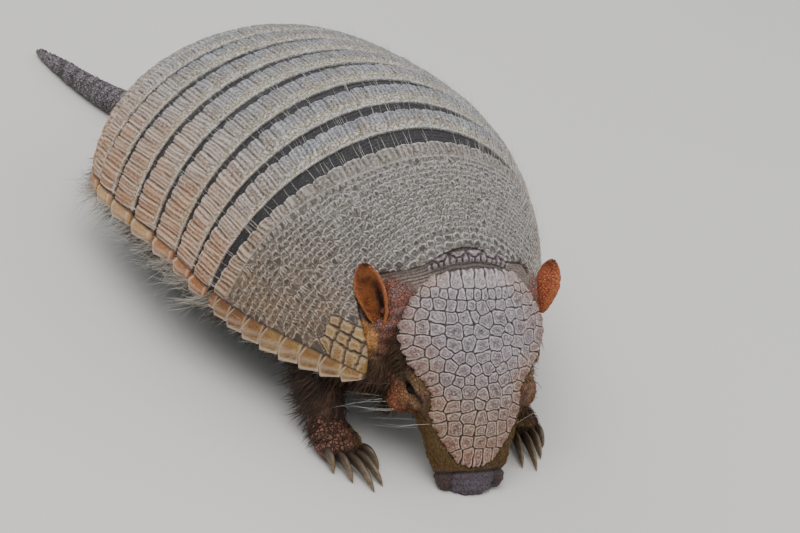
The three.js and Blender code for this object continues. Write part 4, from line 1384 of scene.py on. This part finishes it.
def bellyCoat(hand):
    out = hands[hand]

    def density(p, n):
        low, side = 1 - ease(35, 42, p[:, 2]), ease(-3, 3, p[:, 0] * out)
        away = np.abs(p[:, 0])
        return (low * side * ease(0, 12, p[:, 1]) * (1 - ease(216, 232, p[:, 1]))
                * (0.35 + ease(10, 60, away)) * ease(8, 14, p[:, 2] + 4 * (away > 70)))

    count = bellyHair["count"]
    roots, normals, uv = scattered(count, density)
    flow = unit(heading(np.full(count, out * 0.25), 0.55, -0.8))
    starts = laid(normals, flow, 0.34, 0.16)
    ends = unit(flow * (0.8, 1, 0.7) + rand.normal(0, 0.22, roots.shape))
    lengths = spanOf(count, *bellyHair["length"]) * (1 - 0.35 * (1 - ease(15, 35, roots[:, 2])))
    lengths = clearOf(1.0, 0.15, roots, starts, ends, lengths)
    strands("bellyCoat" + hand.title(), darkCoat, bellyHair, roots, unit(normals), starts, ends, lengths, uv)


for hand in hands:
    bellyCoat(hand)


legHair = {
    "count": 7800, "length": (5, 8), "longer": (2, 9),  # added on the upper legs
    "radius": (0.16, 0.34), "segments": 4, "flat": 0.6,
}
legCoat = coatFinish("legCoat", "2b1d17", "523a2c", "6b5240")


def legsCoat():
    def density(p, n):
        away, y, z = np.abs(p[:, 0]), p[:, 1], p[:, 2]
        limbs = ease(20, 26, away) * (1 - ease(46, 52, z)) * ease(5, 11, z)
        fore = limbs * ease(-12, -4, y) * (1 - ease(30, 38, y))
        hind = limbs * ease(132, 142, y) * (1 - ease(178, 186, y)) * (1 - ease(64, 70, away))
        chest = (1 - ease(24, 30, away)) * (1 - ease(60, 70, z)) * ease(-12, -6, y) * (1 - ease(20, 30, y))
        head = inHead(p)
        throat = ease(-20, -28, head[:, 2]) * (1 - ease(40, 56, head[:, 0])) * ease(-8, 0, head[:, 0])
        return fore * 1.3 + hind + 1.2 * chest + 0.8 * throat * (y < 12)

    count = legHair["count"]
    roots, normals, uv = scattered(count, density)
    flow = unit(heading(np.sign(roots[:, 0]) * 0.25, 0.35, -1))
    starts = laid(normals, flow, 0.3, 0.16)
    ends = unit(flow + rand.normal(0, 0.22, roots.shape))
    lengths = spanOf(count, *legHair["length"])
    lengths += ease(12, 34, roots[:, 2]) * spanOf(count, *legHair["longer"])
    lengths = np.minimum(lengths, np.maximum(roots[:, 2] * 1.15, 2.0))
    strands("legsCoat", legCoat, legHair, roots, unit(normals), starts, ends, lengths, uv)


legsCoat()


faceHair = {"count": 8000, "length": (2.2, 4.2), "radius": (0.09, 0.17), "segments": 3, "flat": 0.7}
faceCoat = coatFinish("faceCoat", "4a3418", "7d602f", "94784a")


def faceFur():
    def density(p, n):
        local = inHead(p)
        a, b, c = local.T
        side = ease(-5, -9, c) + ease(74, 78, a)
        return (side * (0.12 * ease(30, 40, a) + 0.88 * ease(52, 60, a)) * (1 - ease(78, 82, a))
                * ease(5.5, 8, eyeDistance(local)) * (1 - ease(40, 46, np.abs(b))))

    count = faceHair["count"]
    roots, normals, uv = scattered(count, density)
    back = -axes[0] + np.array([0, 0, -0.35])
    starts = laid(normals, back, 0.22, 0.12)
    ends = unit(starts + 0.35 * laid(normals, back, 0.0, 0.1) - 0.15 * unit(normals))
    lengths = spanOf(count, *faceHair["length"]) * (1 - 0.45 * ease(55, 80, inHead(roots)[:, 0]))
    strands("faceFur", faceCoat, faceHair, roots, unit(normals), starts, ends, lengths, uv)


faceFur()


neckHair = {"count": 2400, "length": (3.5, 9), "radius": (0.08, 0.16), "segments": 4}
neckCoat = coatFinish("neckCoat", "33261d", "6a5540", "9a8468")


def neckFur():
    def density(p, n):
        local = inHead(p)
        a, b, c = local.T
        around = ease(14, 24, a) * (1 - ease(36, 44, a)) * ease(-9, -14, c) * (1 - ease(46, 54, -c))
        around = around * ease(17, 22, np.abs(b))
        ears = farFrom(local, (19, -41, -16), (19, 39, -18))
        behind = 0.25 * ease(-20, -30, c) * (a > -20) * (a < 20)
        return (around + behind) * (p[:, 1] < 14) * ease(8, 14, ears)

    count = neckHair["count"]
    roots, normals, uv = scattered(count, density)
    flow = unit(heading(np.sign(roots[:, 0]) * 0.45, 0.35, -0.9))
    starts = laid(normals, flow, 0.35, 0.2)
    ends = unit(flow + rand.normal(0, 0.25, roots.shape))
    lengths = spanOf(count, *neckHair["length"])
    strands("neckFur", neckCoat, neckHair, roots, unit(normals), starts, ends, lengths, uv)


neckFur()


fringeLocks = {
    "count": 3000, "length": (5, 17), "longer": (2, 14), "radius": (0.045, 0.1), "segments": 6,
    "grouped": 0.62,  # share of the hairs that stand in bunches, one at each of these edges
    "edges": (*plateEnds, 0.78, 0.86, 0.93), "widest": 105,
}
fringeHair = coatFinish("fringeHair", "4f463d", "d2c8b8", "efe9dd")


def fringe():  # long hairs from below the margin of the shell
    count, edges = fringeLocks["count"], np.array(fringeLocks["edges"])
    left = rand.random(count) >= 0.5
    bunched = rand.random(count) < fringeLocks["grouped"]
    atEdge = edges[rand.integers(0, len(edges), count)] + rand.normal(0, 0.006, count)
    s = np.clip(np.where(bunched, atEdge, spanOf(count, 0.03, 0.97)), 0.01, 0.985)
    t = np.abs(left - spanOf(count, 0.006, 0.03))
    rearward, _, normal, _ = shellFrame(s, t)
    roots = shellSurface(s, t) - normal * spanOf(count, 1.6, 3.4)[:, None]
    out = np.where(left, 1.0, -1.0)
    flow = rearward * 0.55 + heading(out * 0.45, 0, -0.75)
    starts = unit(flow + rand.normal(0, 0.16, roots.shape))
    ends = unit(rearward * 0.9 + heading(out * 0.2, 0, -0.3) + rand.normal(0, 0.6, roots.shape))
    lengths = spanOf(count, *fringeLocks["length"])
    lengths += np.where(bunched, spanOf(count, *fringeLocks["longer"]), 0)
    lengths = clearOf(1.5, 0.2, roots, starts, ends, lengths)
    outward = out * (0.5 * starts[:, 0] + 0.5 * ends[:, 0])
    room = fringeLocks["widest"] - np.abs(roots[:, 0])
    lengths = np.minimum(lengths, room / np.maximum(outward, 0.05))  # none stands out too far
    strands("fringe", fringeHair, fringeLocks, roots, normal, starts, ends, lengths, np.stack([t, s], 1))


fringe()


bristles = {
    "atShield": 80, "atBand": 90, "length": (4, 12), "lift": (0.12, 0.5),  # along the rear edges
    "scattered": 900, "longer": (7, 17), "steeper": (0.25, 0.75), "radius": (0.045, 0.085), "segments": 5,
}
whiteHair = coatFinish("whiteHair", "bdb6aa", "e9e4da", "f7f4ee")


def shellHairs():
    rows = []
    for number, end in enumerate(plateEnds):
        count = bristles["atBand" if number else "atShield"]
        t = np.clip(rand.random(count), 0.04, 0.96)
        lengths, lifts = spanOf(count, *bristles["length"]), spanOf(count, *bristles["lift"])
        rows.append((np.full(count, end - 0.002), t, lengths, lifts))
    count = bristles["scattered"]  # mostly over the back and the left flank
    t = np.clip(rand.normal(0.66, 0.2, count), 0.05, 0.95)
    s = spanOf(count, 0.04, 0.98)
    lengths = spanOf(count, *bristles["longer"]) * (0.7 + 0.4 * ease(0.5, 0.8, t))
    rows.append((s, t, lengths, spanOf(count, *bristles["steeper"])))
    s, t, lengths, lifts = (np.concatenate(row) for row in zip(*rows))
    rearward, _, normal, _ = shellFrame(s, t)
    roots = shellSurface(s, t) - normal * 0.6
    starts = unit(rearward + normal * lifts[:, None] + rand.normal(0, 0.09, roots.shape))
    tips = unit(rearward + normal * (lifts * 0.35)[:, None] + rand.normal(0, 0.16, roots.shape))
    strands("shellHairs", whiteHair, bristles, roots, normal, starts, tips, lengths, np.stack([t, s], 1))


shellHairs()


whisker = {"count": 26, "length": (9, 27), "radius": (0.055, 0.09), "segments": 7}


def whiskers():
    rows, count = [], whisker["count"]
    for out in hands.values():
        def density(p, n):
            a, b, c = inHead(p).T
            cheek = bell(np.hypot(a - 50, c + 27), 6) * (b * out > 20)
            return cheek + 0.25 * bell(np.hypot(a - 62, c + 24), 8) * (b * out > 8)

        roots, normals, uv = scattered(count, density)
        starts = unit(np.array([out * 0.95, 0.45, -0.08]) + rand.normal(0, 0.14, (count, 3)))
        ends = unit(np.array([out * 0.8, 0.7, -0.35]) + rand.normal(0, 0.2, (count, 3)))
        rows.append((roots, normals, starts, ends, spanOf(count, *whisker["length"]), uv))
    roots, normals, starts, ends, lengths, uv = (np.concatenate(row) for row in zip(*rows))
    strands("whiskers", whiteHair, whisker, roots, unit(normals), starts, ends, lengths, uv)


whiskers()


footHair = {"count": 1500, "length": (2.5, 5.5), "radius": (0.08, 0.15), "segments": 3}


def footHairs():  # short ones over the feet and sparse ones on the tail
    def density(p, n):
        away, y, z = np.abs(p[:, 0]), p[:, 1], p[:, 2]
        feet = (1 - ease(13, 18, z)) * ease(2, 5, z) * ease(28, 34, away)
        fore = feet * (y < 12) * (y > -24)
        hind = feet * (y > 132) * (y < 184) * (away < 66)
        return (fore + hind) * ease(-0.2, 0.3, n[:, 2]) + 0.1 * ease(214, 226, y) * ease(3, 6, z)

    count = footHair["count"]
    roots, normals, uv = scattered(count, density)
    flow = np.where(roots[:, 1:2] > 200, np.array([-0.35, 1, -0.1]), np.array([0, -0.8, -0.5]))
    starts = laid(normals, flow, 0.28, 0.14)
    ends = laid(normals, flow, 0.0, 0.2)
    lengths = spanOf(count, *footHair["length"])
    strands("footHairs", legCoat, footHair, roots, unit(normals), starts, ends, lengths, uv)


footHairs()
print("coat made")

lamps = {  # place, size, power and tint
    "softAbove": ((-0.5, -0.5, 1.7), 1.5, 26, (1, 0.99, 0.97)),
    "softRight": ((1.4, -0.7, 0.9), 1.2, 7, (0.95, 0.97, 1)),
    "softRear": ((-0.3, 1.5, 1.2), 1.2, 9, (0.97, 0.98, 1)),
}
view = {
    "place": (-0.4322, -0.7780, 0.4935), "back": (-0.46238, -0.75573, 0.46376), "right": (0.8530, -0.5219, 0),
    "roll": 12.64, "aside": 0.01987, "lower": 0.02785, "lens": 94.27,
}


def stageAndCamera():
    bpy.ops.object.select_all(action="DESELECT")
    bpy.ops.mesh.primitive_plane_add(size=14)
    floor = bpy.context.object
    floor.name = "floor"
    f = Finish("floorPaint")
    floor.data.materials.append(f.done(f.mix(f.noise(3, 2), hue("d9d6d1"), hue("dedbd6")), 0.9))
    for name, (place, size, power, tint) in lamps.items():
        bpy.ops.object.light_add(type="AREA", location=place)
        lamp = bpy.context.object
        lamp.name = name
        lamp.data.size, lamp.data.energy, lamp.data.color = size, power, tint
        towards = Vector((0, -0.02, 0.05)) - Vector(place)
        lamp.rotation_euler = towards.to_track_quat("-Z", "Y").to_euler()
    world = bpy.context.scene.world or bpy.data.worlds.new("soft")
    bpy.context.scene.world = world
    world.use_nodes = True
    sky = world.node_tree.nodes["Background"]
    sky.inputs["Color"].default_value = (0.9, 0.95, 1.0, 1)
    sky.inputs["Strength"].default_value = 0.55
    back, right, roll = Vector(view["back"]), Vector(view["right"]), np.radians(view["roll"])
    up = back.cross(right)
    sideways = right * np.cos(roll) + up * np.sin(roll)
    upward = up * np.cos(roll) - right * np.sin(roll)
    forward = (sideways * view["aside"] - upward * view["lower"] - back).normalized()
    sideways = forward.cross(upward).normalized()
    upward = sideways.cross(forward)
    bpy.ops.object.camera_add(location=view["place"])
    camera = bpy.context.object
    camera.data.sensor_width = 36
    camera.data.lens = view["lens"]
    camera.rotation_euler = Matrix((sideways, upward, -forward)).transposed().to_euler()
    bpy.context.scene.camera = camera


stageAndCamera()
print("stage made")
